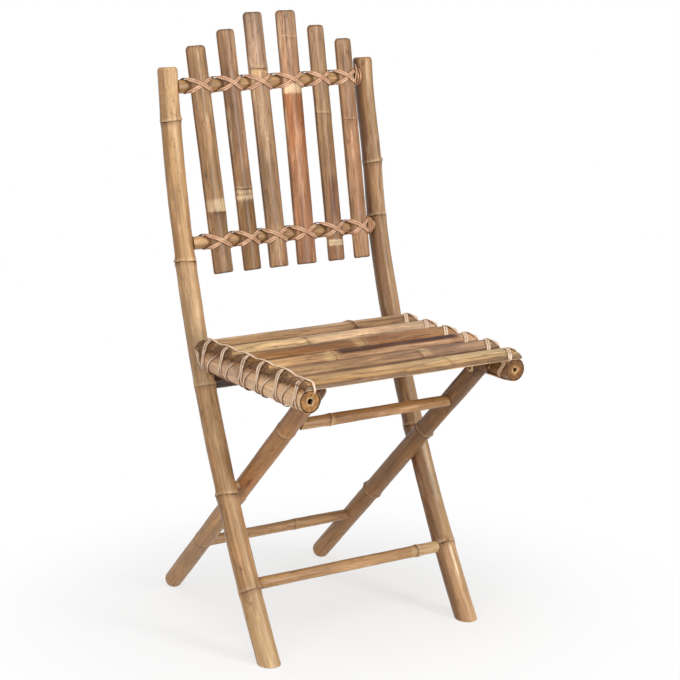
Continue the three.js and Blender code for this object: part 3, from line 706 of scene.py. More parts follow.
def cross_pole(node, body, radius, tones, pole, half_span, knots, lit_and_shaded_sides, seed):
    """A thin culm along X, coped against a pole on each side, which has a direction and a radius."""
    pole_up, pole_radius = pole
    reach = half_span - pole_radius
    end = sawn_end(radius, 0.5 * MM)
    culm(node, body, cross_axis(node), (-reach, reach), radius, tones, (end, end), knots, lit_and_shaded_sides,
         bends=[coped(pole_up, pole_radius, sign) for sign in (-1, 1)], reference=Z_AXIS, sides=40, seed=seed)


def make_cross_poles():
    poles = [
        ("front_stretcher", 9.6 * MM, ((0, "8a6038"), (0.03, "a8835c"), (0.5, "ae8862"), (0.84, "b08a62"),
                                       (0.86, "c6a47c"), (1, "d2b48e")),
         [{"place": 132 * MM, "strength": 1.1}], 31),
        # the rest bar's near-black tones are partly its dark wood and partly painted shade under the seat
        ("seat_rest_bar", 12 * MM, ((0, "38200f"), (1, "402613")), [{"place": 40 * MM}], 32),
        ("lower_back_rail", BACK_RAIL_RADIUS, ((0, "b08a62"), (1, "a5805a")), [], 33),
        ("upper_back_rail", BACK_RAIL_RADIUS, ((0, "a8835c"), (1, "b08a62")), [], 34)]
    for node, radius, tones, knots, seed in poles:
        height = node_middle(node)[2]
        # the darker rear side of each pole is painted shade
        cross_pole(node, "post_frame", radius, tones, (post_direction(height), post_radius(height)),
                   post_spread_at(height), knots, [(270, "7b5431", 0.35, 0.5)], seed)
    rungs = [
        ("upper_leg_rung", ((0, "b58f66"), (0.2, "ae875e"), (0.22, "98704a"), (1, "a47c54")),
         [{"place": -87.5 * MM, "strength": 0.8}], 35),
        ("lower_leg_rung", ((0, "b18b64"), (1, "b48e68")), [{"place": 30 * MM, "strength": 0.5}], 36)]
    for node, tones, knots, seed in rungs:
        cross_pole(node, "leg_frame", RUNG_RADIUS, tones, (leg_up, LEG_RADIUS), LEG_SPREAD, knots, (), seed)


# Seat rails, the bar between them, the pins and the hooks

def rail_end_tones(hollow, wood):
    """Painted shade in the pith hole, a pale ring round it, the wood and the dark line inside the pale skin.
    """
    return ((0, "1f0f06"), (0.95 * hollow, "2c170b"), (1.1 * hollow, "d2b088"), (1.6 * hollow, "b88f60"),
            (0.5, wood[0]), (0.62, wood[1]), (0.72, wood[0]), (0.83, wood[1]), (0.87, "4e2d15"),
            (0.95, "3c2210"), (0.97, "a88058"), (1, "d8ba94"))


def make_rails():
    looks = {
        "left": (4.4 * MM, ("b0824e", "a07040"),
                 ((0, "dcb793"), (0.3, "e0bc98"), (0.7, "d6af92"), (1, "c9a07a"))),
        # the right rail's dark tones are painted shade from the slats above
        "right": (3.4 * MM, ("8e643a", "7c5430"), ((0, "7f5a3a"), (0.5, "8a6442"), (1, "926c48")))}
    for word, side in SIDES:
        low, high = node_box(f"{word}_seat_rail")
        pith, wood, tones = looks[word]
        end = pith_end(RAIL_RADIUS, pith, 9 * MM)
        # the darker side facing down is painted shade
        culm(f"{word}_seat_rail", "seat", straight_axis((low + high) / 2 * (1 - Y_AXIS), Y_AXIS),
             (low[1], high[1]), RAIL_RADIUS, tones, (end, end),
             [{"place": lerp(low[1], high[1], 0.62), "strength": 0.5}], [(80, "7a5638", 0.35, 0.25)],
             seed=41 + side, end_tones=rail_end_tones(pith / RAIL_RADIUS, wood), uneven=0.8)


def make_cross_bar():
    radius = 6 * MM
    rail_half = node_box("left_seat_rail")[1][0] - node_middle("left_seat_rail")[0]
    span = node_box("seat_cross_bar")[1][0] - rail_half + 1 * MM
    end = sawn_end(radius, 0.5 * MM)
    culm("seat_cross_bar", "seat", cross_axis("seat_cross_bar"), (-span, span), radius,
         ((0, "a07a54"), (1, "9c7650")), (end, end), reference=Z_AXIS, sides=28, seed=45, kind="rod")


def make_pins():
    # the dark middle of the pin ends is painted shade in the pith hole
    bright = ((0, "3a2414"), (0.3, "4a2e1a"), (0.42, "c8a880"), (0.8, "d8bc96"), (1, "b48e64"))
    for word, side in SIDES:
        for pin, body, radius in (("seat", "leg_frame", 6 * MM), ("scissor", "post_frame", 6.5 * MM)):
            node = f"{word}_{pin}_pin"
            low, high = node_box(node)
            end = pith_end(radius, 1.7 * MM, 5 * MM, 0.7 * MM)
            culm(node, body, cross_axis(node), (low[0], high[0]), radius, ((0, "c8a67c"), (1, "c8a67c")),
                 (end, end), reference=Z_AXIS, sides=32, seed=51 + side, kind="dowel",
                 material=pin_wood, end_tones=bright, uneven=0.4)


def dress_hooks():
    for word, _ in SIDES:
        hook = frame["nodes"][f"{word}_seat_hook"]
        hook.data.materials.clear()
        hook.data.materials.append(hook_wood)
        bevel = hook.modifiers.new("worn_edges", "BEVEL")
        bevel.width = 0.8 * MM
        bevel.segments = 2
        bevel.limit_method = "ANGLE"


# Split culms

SPLIT_GRAIN = ((0, "3c2312"), (0.35, "7a5430"), (0.65, "94693f"), (0.9, "63401f"), (1, "bd9a6c"))
INNER_TONE = "c9ab7e"


def slat_places(length, knots, corners):
    """Places of a slat's rings, with the insets of the first and last: closer at the knots and the ends."""
    plain = finer_at_knots(np.arange(0, length + 1e-6, SLAT_STEP), [knot["place"] * length for knot in knots])
    edges = max(*corners, 1.2 * MM) * np.array([0, 0.06, 0.16, 0.3, 0.5, 0.75, 1])
    plain = plain[(plain > edges[-1] + SLAT_RIM) & (plain < length - edges[-1] - SLAT_RIM)]
    places = np.concatenate([[0], SLAT_RIM + edges, plain, length - SLAT_RIM - edges[::-1], [length]])
    insets = np.zeros((len(places), 1))
    insets[[0, -1]] = SLAT_RIM
    return places[:, None], insets


def slat_half(place, column, length, width, corners, insets, seed):
    """Half the slat's width along its length, less at its rounded corners."""
    corner = np.where(place < length / 2, *corners)
    taper = np.maximum(corner - np.minimum(place, length - place), 0)
    half = width / 2 - 0.85 * (corner - np.sqrt(np.maximum(corner ** 2 - taper ** 2, 0))) - insets
    return half * (1 + 0.012 * wobble(place + 0.09 * np.sign(column), 0.16, seed + 1))


def slat_knot(knot, distance, column, across, seed, rise, shift, paint):
    """A knot across a slat: its relief, its dark line, its skew or vee, and its bud."""
    strength = knot.get("strength", 1.0)
    shift = shift + hump(distance, 13) * MM * (
        knot.get("skew", 1.0) * column - knot.get("vee", 0.0) * (np.abs(column) - 0.5)
        + 0.5 * wobble(across, 0.011, seed + 11))
    rise = rise + strength * knot_relief(distance) * (1 + 0.2 * wobble(across, 0.02, seed + 12))
    dark = strength * knot.get("dark", 1.0) * (0.8 + 0.3 * wobble(across, 0.009, seed + 13))
    paint = knot_paint(paint, distance, dark)
    if "bud" in knot:
        beside = across / MM - knot["bud"]
        rise = rise + 1.1 * MM * np.exp(-(beside / 3) ** 2 - ((distance - 3) / 2.6) ** 2)
        paint = blend_to(paint, "4a2d1a", 0.75 * np.exp(-(beside / 2) ** 2 - ((distance - 2.4) / 1.8) ** 2))
    return rise, shift, paint


def slat_bands(paint, bands, share, column, across, seed):
    """Ragged bands of tone, from one share of the length to another and over part of the width."""
    for low, high, code, weight, soft, start, stop in bands:
        rag = soft * (0.35 * wobble(across * 2.2, 0.02, seed + 21) + 0.2 * wobble(across, 0.003, seed + 22))
        inside = between(share + rag, low, high, soft) * between(column, start, stop, 0.12)
        paint = blend_to(paint, code, weight * inside)
    return paint


def worn_ends(shift, place, length, bevels, share_up, rough):
    """Slants and roughens both ends of a slat, where the shifts of its knots fade out."""
    low, high = (np.clip(1 - gap / (bevel * 1.6 + 12 * MM), 0, 1)
                 for gap, bevel in zip((place, length - place), bevels))
    low_wear, high_wear = (bevel * share_up ** 1.3 + rough for bevel in bevels)
    return shift * (1 - low) * (1 - high) + (low * low_wear - high * high_wear)


def paint_slat_side_shade(paint, from_end, across, column, on_top, side, seed):
    """Painted shade down the sides of the face, darker near the ends, and the paler inner wood under it."""
    tone, share = side
    # painted shade along both sides of the face
    paint = blend_to(paint, tone, 0.75 * smooth_step(share, share + 0.13, np.abs(column)) * on_top)
    under_paint = colour(INNER_TONE) * (1 + 0.12 * wobble(across * 2, 0.03, seed + 41))[..., None]
    paint = np.where(on_top[..., None], paint, under_paint)
    return blend_to(paint, tone, 0.55 * hump(from_end, 2.2 * MM) * on_top)


def split_culm(node, body, origin, ways, sizes, tones, knots, bands, bevels, corners, fillet, columns, seed,
               material, side, lift=0.0):
    """A split culm along a line: a crowned face, rounded edges, a hollow back, knots and worn ends."""
    along, face_way = ways
    length, width, edge, crown, hollow = sizes
    places, insets = slat_places(length, knots, corners)
    turn = np.sin(np.linspace(1, -1, columns) * math.pi / 2)
    column = np.concatenate([turn, turn[::-1]])[None, :]
    on_top = (np.arange(2 * columns) < columns)[None, :]
    place = places + 0 * column
    half = slat_half(place, column, length, width, corners, insets, seed)
    across = column * half
    inward = np.clip((np.abs(across) - (half - fillet)) / fillet, 0, 1)
    fall = fillet * (1 - np.sqrt(1 - inward ** 2))
    arch = 1 - (across / (width / 2)) ** 2
    rise = edge + (crown + lift) * arch - fall
    rise += 0.25 * MM * wobble(place, 0.17, seed + 2) + 0.12 * MM * wobble(place + across, 0.05, seed + 3)
    share = place / length + 0.35 * MM / length * column
    paint = tones_along(share, tones)
    paint *= (1 + 0.07 * wobble(across * 3 + 0.05 * place, 0.05, seed + 4))[..., None]
    shift = np.zeros_like(place)
    for knot in knots:
        distance = (place - knot["place"] * length) / MM
        rise, shift, paint = slat_knot(knot, distance, column, across, seed, rise, shift, paint)
    paint = slat_bands(paint, bands, share, column, across, seed)

    height = np.where(on_top, rise - insets, hollow * arch + 0.45 * fall + insets)
    share_up = np.clip(height / (edge + crown), 0, 1)
    rough = 0.35 * MM * wobble(across + 3 * height, 0.004, seed + 31)
    moved = place + worn_ends(shift, place, length, bevels, share_up, rough)
    points = (origin + moved[..., None] * along + across[..., None] * np.cross(face_way, along)
              + height[..., None] * face_way)

    paint = paint_slat_side_shade(paint, np.minimum(place, length - place), across, column, on_top, side, seed)
    cut = np.zeros_like(place)
    cut[[0, -1]] = 1
    cut[[1, -2]] = 0.7
    grain = tones_along(np.clip(share_up + 0.1 * wobble(across, 0.006, seed + 42), 0, 1), SPLIT_GRAIN)
    paint = paint + (grain - paint) * cut[..., None]
    fibre = np.stack([across, height, moved + 0.53 * seed], -1)
    make_piece(node, "split", [new_loft(points, paint, fibre, cut, "strip")], body, material)


def lowered(k):
    """The last seat slat's crown is lower than the others'."""
    return LAST_SLAT_LOWER if k == LAST_SLAT else 0.0


def make_seat_slats():
    """From the rear to the front: tones from left to right, knots and bands as shares of the length."""
    slats = [
        (((0, "c29e7a"), (0.3, "c6a37e"), (0.6, "ceac8b"), (0.8, "c4a07d"), (1, "c29c7a")),
         {"place": 0.7, "vee": 2.0, "strength": 1.8}, [(0.0, 1.0, "8c6440", 0.45, 0.02, -1.2, -0.2)]),
        (((0, "e4c192"), (0.12, "e6c495"), (0.3, "e1bf95"), (0.5, "ebcaa5"), (0.75, "e1bb9b"), (1, "ebcaab")),
         {"place": 0.385, "skew": 2, "strength": 0.9}, [(0.36, 1.0, "9a7a6a", 0.4, 0.03, 0.1, 1.2)]),
        (((0, "ab7d4f"), (0.3, "996b44"), (0.5, "a17553"), (0.7, "9b6d4b"), (1, "b98b5f")),
         {"place": 0.56, "vee": 3.0, "strength": 0.8},
         [(0.515, 0.56, "d9b98a", 0.6, 0.01, -0.9, 0.5), (0.1, 0.5, "7c5840", 0.45, 0.03, -0.2, 1.2)]),
        (((0, "deb384"), (0.25, "c39a72"), (0.42, "bd9470"), (0.7, "bb9373"), (0.9, "b68e6f"), (1, "e0b591")),
         {"place": 0.335, "vee": 3.5, "strength": 0.9},
         [(0.28, 0.335, "dcbb8c", 0.65, 0.01, -0.9, 0.25), (0.36, 0.93, "42190f", 0.95, 0.02, -0.42, 1.2),
          (0.05, 0.28, "75503a", 0.5, 0.03, 0.1, 1.2)]),
        (((0, "bc9a75"), (0.3, "ab8867"), (0.6, "b18c6f"), (0.8, "a4816c"), (1, "bf9c7c")),
         {"place": 0.64, "vee": 3.0, "strength": 0.9},
         [(0.64, 0.685, "dcbd92", 0.65, 0.01, -0.7, 0.4), (0.1, 0.6, "86644a", 0.45, 0.04, 0.0, 1.2)]),
        (((0, "c8a375"), (0.3, "cfa97c"), (0.6, "d8b689"), (0.9, "e1c498"), (1, "e3c69c")),
         {"place": 0.68, "skew": 2.0, "strength": 0.8},
         # the near-white band on the last slat's rear edge is a painted highlight
         [(0.35, 0.8, "fff0da", 0.85, 0.03, 0.86, 1.4), (0.0, 1.0, "a98257", 0.5, 0.03, -1.2, -0.4),
          (0.12, 0.55, "94714e", 0.4, 0.03, 0.3, 1.2)])]
    for k, (tones, knot, bands) in enumerate(slats):
        node = f"seat_slat_{k + 1}"
        low, high = node_box(node)
        origin = np.array([low[0], (low[1] + high[1]) / 2, low[2]])
        crown = high[2] - low[2] - SEAT_SLAT_EDGE
        sizes = (high[0] - low[0], high[1] - low[1], SEAT_SLAT_EDGE, crown, 4.5 * MM)
        # side gives the tone and the share of the width for the painted shade on the slat's sides
        split_culm(node, "seat", origin, (X_AXIS, Z_AXIS), sizes, tones, [knot], bands,
                   bevels=(15 * MM, 3 * MM), corners=(0.0, 0.0), fillet=5 * MM, columns=31, seed=61 + k,
                   material=seat_skin, side=("4e2e18", 0.8), lift=-lowered(k))


# The back's own directions: up along the line through both back rails, and out of its front

back_rails = [node_middle("lower_back_rail"), node_middle("upper_back_rail")]
back_up = unit((back_rails[1] - back_rails[0]) * (1 - X_AXIS))
back_front = np.array([0, -back_up[2], back_up[1]])


def back_slat_place(node):
    """Foot, direction and sizes of a back slat, from the long axis of its solid."""
    spots = np.array([vertex.co for vertex in frame["nodes"][node].data.vertices])
    centre = (spots.max(0) + spots.min(0)) / 2
    flat = np.stack([(spots - centre) @ X_AXIS, (spots - centre) @ back_up], -1)

    def spread(angle):
        return np.ptp(flat @ np.array([math.cos(angle), -math.sin(angle)]))
    angle = min(np.linspace(-0.08, 0.08, 641), key=spread)
    along = math.sin(angle) * X_AXIS + math.cos(angle) * back_up
    across = np.cross(back_front, along)
    runs, sides, depths = spots @ along, spots @ across, spots @ back_front
    foot = along * runs.min() + across * (sides.max() + sides.min()) / 2 + back_front * depths.min()
    return foot, along, np.ptp(runs), np.ptp(sides), np.ptp(depths)


def make_back_slats():
    """From left to right: tones from foot to top, knots and bands as shares of the length."""
    full = (-1.3, 1.3)
    slats = [
        (((0, "9e7d5d"), (0.2, "927151"), (0.262, "7e5d3d"), (0.33, "9f7e5c"), (0.7, "997755"),
          (1, "a28161")),
         [{"place": 0.268, "bud": 0, "strength": 0.9}],
         [(0.272, 0.325, "dcc4a2", 0.75, 0.008, *full), (0.0, 1.0, "8b6544", 0.35, 0.05, 0.4, 1.3)]),
        (((0, "96724f"), (0.22, "86643f"), (0.29, "7c5a3a"), (0.36, "8f6c50"), (0.7, "96735a"),
          (1, "a27e62")),
         [{"place": 0.336, "bud": -3}],
         [(0.294, 0.313, "dcc4a2", 0.8, 0.006, *full), (0.318, 0.334, "d8be9a", 0.75, 0.005, *full),
          (0.345, 1.0, "70502f", 0.5, 0.03, 0.25, 1.3)]),
        (((0, "967457"), (0.4, "9b7a5c"), (0.74, "9e8065"), (0.78, "a2846c"), (1, "a48670")),
         [{"place": 0.777, "strength": 1.5, "dark": 0.3}], [(0.735, 0.772, "cba87c", 0.8, 0.005, *full)]),
        (((0, "9c7053"), (0.4, "9a6c4d"), (0.62, "986744"), (0.67, "9a6846"), (0.72, "a27b60"),
          (1, "9a795e")),
         [{"place": 0.889, "strength": 0.7, "dark": 0.4}],
         [(0.674, 0.712, "e4c8a6", 0.8, 0.005, *full), (0.45, 0.67, "a8602f", 0.25, 0.06, *full)]),
        (((0, "926a4d"), (0.3, "906c4e"), (0.6, "957556"), (1, "98795f")),
         [{"place": 0.623, "strength": 0.8, "dark": 0.5}, {"place": 0.076, "strength": 0.7}],
         [(0.195, 0.344, "6d3b24", 0.7, 0.03, -0.5, 0.4), (0.065, 0.09, "e6d0b0", 0.7, 0.004, *full)]),
        (((0, "a07a5c"), (0.5, "9c775a"), (0.66, "9b7558"), (1, "a07e60")),
         [{"place": 0.628, "strength": 0.8, "dark": 0.4}], [(0.2, 0.6, "b87850", 0.25, 0.06, -0.6, 0.5)])]
    for k, (tones, knots, bands) in enumerate(slats):
        node = f"back_slat_{k + 1}"
        foot, along, length, width, thick = back_slat_place(node)
        sizes = (length, width, BACK_SLAT_EDGE, thick - BACK_SLAT_EDGE, 1.6 * MM)
        # side gives the tone and the share of the width for the painted shade on the slat's sides
        split_culm(node, "post_frame", foot, (along, back_front), sizes, tones, knots, bands,
                   bevels=(2 * MM, 2.5 * MM), corners=(3.5 * MM, 8 * MM), fillet=2 * MM, columns=27,
                   seed=81 + k, material=back_skin, side=("6b4628", 0.84))


# Cane: flat strips laid along routes of control points, each with the way that the strip's face looks

BACK_CANE = ("e2b898", "a9754f")
END_CANE = ("cfa07c", "94633f")
SEAT_CANE = ("f6dcc0", "dcb08a")


def even_route(controls):
    """A smooth line through the control points, in even steps."""
    both = np.array([(*point, *face) for point, face in controls])
    padded = np.concatenate([[2 * both[0] - both[1]], both, [2 * both[-1] - both[-2]]])
    share = np.linspace(0, 1, 9)[:-1, None]
    rows = [0.5 * (2 * b + (c - a) * share + (2 * a - 5 * b + 4 * c - d) * share ** 2
                   + (3 * b - a - 3 * c + d) * share ** 3)
            for a, b, c, d in zip(padded, padded[1:], padded[2:], padded[3:])]
    dense = np.concatenate([*rows, padded[-2:-1]])
    run = np.concatenate([[0], np.cumsum(np.linalg.norm(np.diff(dense[:, :3], axis=0), axis=1))])
    even = np.linspace(0, run[-1], max(4, int(run[-1] / CANE_STEP)))
    return np.stack([np.interp(even, run, dense[:, k]) for k in range(6)], -1), even


def strip(controls, width, offset, seed, tones, shaded=False):
    """One flat strip of cane beside a route by the offset. A shaded one is browner where it looks down."""
    route, run = even_route(controls)
    spots, faces = route[:, :3], route[:, 3:]
    ahead = unit(np.gradient(spots, axis=0))
    faces = unit(faces - ahead * np.sum(faces * ahead, 1, keepdims=True))
    beside = np.cross(faces, ahead)
    spots = spots + beside * (offset + 0.18 * MM * wobble(run, 0.02, seed))[:, None]
    turn = np.linspace(1, -1, 7)
    column = np.concatenate([turn, turn[::-1]])[None, :]
    top_or_under = np.repeat([1, -1], len(turn))[None, :]
    half = 0.5 * width * (1 + 0.08 * wobble(run, 0.013, seed + 1))[:, None]
    across = column * half
    height = top_or_under * 0.5 * CANE * (1 - 0.55 * np.abs(column) ** 3) + 0 * half
    points = spots[:, None] + across[..., None] * beside[:, None] + height[..., None] * faces[:, None]
    light, dark = tones
    share = np.clip(0.5 + 0.5 * wobble(run, 0.03, seed + 2), 0, 1)[:, None] + 0 * column
    paint = blend_to(colour(light) + 0 * points, dark, 0.6 * share)
    if shaded:
        shade = 1 - smooth_step(-0.85, 0.1, faces[:, 2])
        paint = blend_to(paint, "a06c42", 0.7 * shade[:, None] + 0 * share)
    paint = blend_to(paint, "4e2a14", 0.9 * smooth_step(0.66, 1.0, np.abs(column)) + 0 * share)
    fibre = np.stack([across, height, run[:, None] + 0 * column + 0.29 * seed], -1)
    cut = np.zeros(points.shape[:2])
    cut[[0, -1]] = 1
    return new_loft(points, paint, fibre, cut, "strip")


def crown_rise(share, edge, height):
    """Height of a slat's face over its underside, at a share of its half width."""
    return edge + (height - edge) * (1 - share ** 2)


# Lashings of the back

def back_spot(rail, x, up, front):
    return at_x(rail, x) + back_up * up + back_front * front


def back_crossing(rail, slat, gaps, way, layer, climb):
    """Controls of a pass at one slat: out of the gap before it, slanting over it and on to the gap after."""
    x, half, thick = slat
    before, after = gaps
    wrap = BACK_RAIL_RADIUS + 0.5 * CANE + layer * CANE_LAYER + CANE_LIFT
    proud = SLAT_GAP_TO_RAIL + BACK_RAIL_RADIUS + 0.5 * CANE + 0.2 * MM

    def over(share, lift):
        return proud + crown_rise(share, BACK_SLAT_EDGE, thick) + lift

    def beside_slat(end, gap):
        out = end * way
        return [(gap - out * 3.4 * MM, end * wrap, 0, (0, end, 0)),
                (lerp(gap, x + out * half, 0.55), 0.93 * end * wrap, 0.62 * wrap, (0, end, 0.7)),
                (x + out * (half + 0.6 * MM), end * climb, over(1, 0.2 * MM), (0.75 * out, 0.25 * end, 0.7)),
                (x + 0.72 * out * half, 0.76 * end * climb, over(0.72, 0.3 * (MM + layer * CANE_LAYER)),
                 (0.35 * out, 0, 1))]
    rows = [*beside_slat(-1, before), (x, 0, over(0, 0.3 * MM + layer * CANE_LAYER), (0, 0, 1)),
            *beside_slat(1, after)[::-1],
            (after - way * 2 * MM, 0.72 * wrap, -0.72 * wrap, (0, 1, -1)),
            (after, 0, -wrap, (0, 0, -1)),
            (after + way * 2 * MM, -0.72 * wrap, -0.72 * wrap, (0, -1, -1))]
    return [(back_spot(rail, *spot), back_spot(0 * X_AXIS, *face)) for *spot, face in rows]


def slat_on_rail(k, rail):
    """Place along the rail, half width and thickness of a back slat where it crosses the rail."""
    foot, along, _, width, thick = back_slat_place(f"back_slat_{k + 1}")
    climb = np.dot(rail - foot, back_up) / np.dot(along, back_up)
    return (foot + along * climb)[0], width / 2, thick


def back_lashing(node, rail, seed):
    """Two passes along the rail, crossing over each slat, each pass of two narrow strips side by side."""
    slats = [slat_on_rail(k, rail) for k in SLATS]
    post_side = post_spread_at(rail[2]) - post_radius(rail[2])
    sides = [-post_side, *(x + way * half for x, half, _ in slats for way in (-1, 1)), post_side]
    gaps = [(low + high) / 2 for low, high in zip(sides[::2], sides[1::2])]
    gaps[0] = max(gaps[0], sides[1] - 9 * MM)
    gaps[-1] = min(gaps[-1], sides[-2] + 9 * MM)
    bow = POST_BOWS_OUT[1] if rail is back_rails[1] else 0
    lofts = closing_turns(rail, sides[-2], post_side + bow, seed)
    for way, layer in ((1, 0), (-1, 1)):
        controls = []
        for k in SLATS[::way]:
            climb = 9.4 * MM * (1 + 0.08 * wobble(k, 2.3, seed + way))
            controls += back_crossing(rail, slats[k], gaps[k:k + 2][::way], way, layer, climb)
        lofts += [strip(controls, 3.3 * MM, beside, seed + 7 * number + 3 * way, BACK_CANE)
                  for number, beside in enumerate((-1.65 * MM, 1.65 * MM))]
    make_piece(node, "cane", lofts, "post_frame", cane_skin, sharp=60)


def closing_turns(rail, start, stop, seed):
    """The cane's last turns round the rail beside the right post, and its loose end on the upper rail."""
    reach = BACK_RAIL_RADIUS + 1.5 * CANE + CANE_LAYER
    controls = []
    for share in np.linspace(0, 1, 37):
        turn = TAU * (3 * share + 0.5)
        ray = back_up * math.sin(turn) + back_front * math.cos(turn)
        controls.append((at_x(rail, lerp(start + 2 * MM, stop - 2.2 * MM, share)) + reach * ray, ray))
    turns = strip(controls, 3.4 * MM, 0, seed + 51, END_CANE)
    if rail is back_rails[0]:
        return [turns]
    tail = [(back_spot(rail, start + x * MM, up * MM, front * MM), back_front - 0.3 * X_AXIS)
            for x, up, front in ((2, -6, 15.5), (4, 0, 16), (6, 6, 15.5), (7.5, 13, 13.5), (7, 20, 12))]
    return [turns, strip(tail, 2 * MM, 0, seed + 52, BACK_CANE)]


# Lashings of the seat

class RailRoute:
    """Controls of a cane on a seat rail and its slats: out from the rail's axis, along it and up."""

    def __init__(self, word):
        self.side = dict(SIDES)[word]
        self.rail = node_middle(f"{word}_seat_rail")
        self.rail_front, self.rail_rear = (corner[1] for corner in node_box(f"{word}_seat_rail"))
        self.wrap = RAIL_RADIUS + 0.5 * CANE + CANE_LIFT
        boxes = np.array([node_box(f"seat_slat_{k + 1}") for k in SLATS])
        self.middles = boxes[:, :, 1].mean(1)
        self.under, self.top = boxes[0, :, 2] - self.rail[2]
        self.half = np.ptp(boxes[0, :, 1]) / 2
        self.pitch = self.middles[0] - self.middles[1]
        self.controls = []

    def put(self, out, y, up, face):
        spot = (self.rail[0] + self.side * out, y, self.rail[2] + up)
        self.controls.append((spot, (self.side * face[0], face[1], face[2])))

    def turn(self, degrees, y, layer=0.0):
        ray = (math.cos(math.radians(degrees)), 0, math.sin(math.radians(degrees)))
        self.put((self.wrap + layer) * ray[0], y, (self.wrap + layer) * ray[2], ray)

    def on_rail(self, y):
        return min(max(y, self.rail_front + 3 * MM), self.rail_rear - 3 * MM)

    def over(self, k, share):
        """Height of a cane on a slat's face, at a share of its half width."""
        rise = crown_rise(share, SEAT_SLAT_EDGE, self.top - self.under - lowered(k))
        return self.under + rise + 0.5 * CANE + 0.35 * MM

    def strip(self, width, seed, offset=0):
        return strip(self.controls, width, offset, seed, SEAT_CANE, shaded=True)


def left_band(k, way, reach, bevel, seed):
    """One band over a slat's end, down the rail's side and under it to the gap before or after the slat."""
    route = RailRoute("left")
    middle = route.middles[k] - (9 * MM if k == 2 else 0)
    gap = route.on_rail(middle + way * route.pitch / 2)
    apex = middle + way * 2.2 * MM
    lean = (12 if way > 0 else -3) * MM * (1 + 0.3 * math.sin(2.7 * k + seed))
    crest = route.over(k, 0)
    face_end = reach - bevel
    route.put(face_end - 8 * MM, apex, route.over(k, 0.1) - 1.6 * MM, (0, 0, 1))
    route.put(face_end - 3 * MM, apex, crest, (0.1, 0, 1))
    route.put(face_end + 1.5 * MM, apex, crest - 1.0 * MM, (0.7, 0, 1))
    route.put(reach - 0.4 * bevel + 1.0 * MM, apex + 0.1 * lean,
              lerp(route.under, route.top - lowered(k), 0.5), (1, 0, 0.8))
    shoulder = math.degrees(math.acos(min(1.0, (reach + CANE) / (route.wrap + 1 * MM))))
    for degrees in (shoulder, lerp(shoulder, -60, 0.35), lerp(shoulder, -60, 0.7), -60, -95, -125):
        drop = (shoulder - degrees) / (shoulder + 125)
        side_y = route.on_rail(apex + lean * drop ** 0.8)
        route.turn(degrees, side_y)
    route.turn(-155, lerp(side_y, gap, 0.6))
    route.turn(-185, gap)
    route.turn(-215, gap)
    return route.strip(4.6 * MM, seed + 3 * k + way)


def valley_strand(k, seed):
    """A strand out of the valley between two slats, slanting back down the rail's side over the bands."""
    route = RailRoute("left")
    valley = (route.middles[k] + route.middles[k + 1]) / 2 - 3 * MM
    slant = (25 + 4 * math.sin(2.1 * k + seed)) * MM
    for degrees in (55, 40, 20, 0, -20, -40, -60, -80, -100, -130, -165):
        drop = (55 - degrees) / 220
        route.turn(degrees, valley + slant * min(1.0, 1.5 * drop) ** 0.85, CANE * min(1.0, 2 * drop))
    return route.strip(4.4 * MM, seed + 51 + k)


def top_strand(out, seed):
    """The strand along the slats' tops, a little slack over each valley, tucked in beside the rail's end."""
    route = RailRoute("left")
    for k, middle in enumerate(route.middles):
        crest = route.over(k, 0)
        for share in (0.85, 0.45, 0, -0.45, -0.85):
            if k or share < 0.5:
                sag = 0.45 * (crest - route.over(k, share))
                weave = (0.8 - 1.6 * abs(share)) * MM
                route.put(out + weave, middle + share * route.half, crest + 0.8 * CANE - sag, (0.3, 0, 1))
    front = route.middles[-1] - route.half
    route.put(out - 1 * MM, front - 0.8 * MM, route.under + 0.7 * SEAT_SLAT_EDGE, (0.2, -0.8, 0.6))
    route.put(out - 1 * MM, front - 1.6 * MM, route.under + 0.1 * SEAT_SLAT_EDGE, (0.2, -1, 0))
    route.put(out - 1 * MM, front + 1 * MM, route.under - 4 * MM, (0.5, -1, -0.3))
    return route.strip(4.2 * MM, seed + 41)


def rear_corner_strands(reach, seed):
    """Two strands that start the lashing, slanting up to the outer rear corner of the first slat."""
    route = RailRoute("left")
    corner = route.middles[0] + route.half
    for degrees, back in ((-120, 34), (-80, 30), (-40, 24), (0, 15), (30, 7)):
        route.turn(degrees, corner - back * MM, 0.4 * MM)
    route.put(reach + 1.2 * MM, corner + 0.2 * MM, route.under + 1.5 * MM, (0.7, 0.7, 0))
    route.put(reach - 3 * MM, corner + 1.2 * MM, route.under + 0.6 * SEAT_SLAT_EDGE, (0, 1, 0.2))
    route.put(reach - 9 * MM, corner - 1 * MM, route.under + SEAT_SLAT_EDGE + 1.2 * MM, (0, 0.6, 1))
    route.put(reach - 14 * MM, corner - 9 * MM, route.over(0, 0.66) + 0.8 * MM, (0, 0.4, 1))
    return [route.strip(2.6 * MM, seed + 5, beside) for beside in (-1.5 * MM, 1.5 * MM)]


def left_seat_lashing(node, reach, bevel, seed):
    """A double band over each slat's end and round the rail, all held down by one strand along the tops."""
    lofts = [left_band(k, way, reach, bevel, seed) for k in SLATS for way in (1, -1)]
    lofts += [valley_strand(k, seed) for k in SLATS[:-1]]
    lofts.append(top_strand(reach - bevel - 1 * MM, seed))
    lofts += rear_corner_strands(reach, seed)
    make_piece(node, "cane", lofts, "seat", cane_skin, sharp=60)


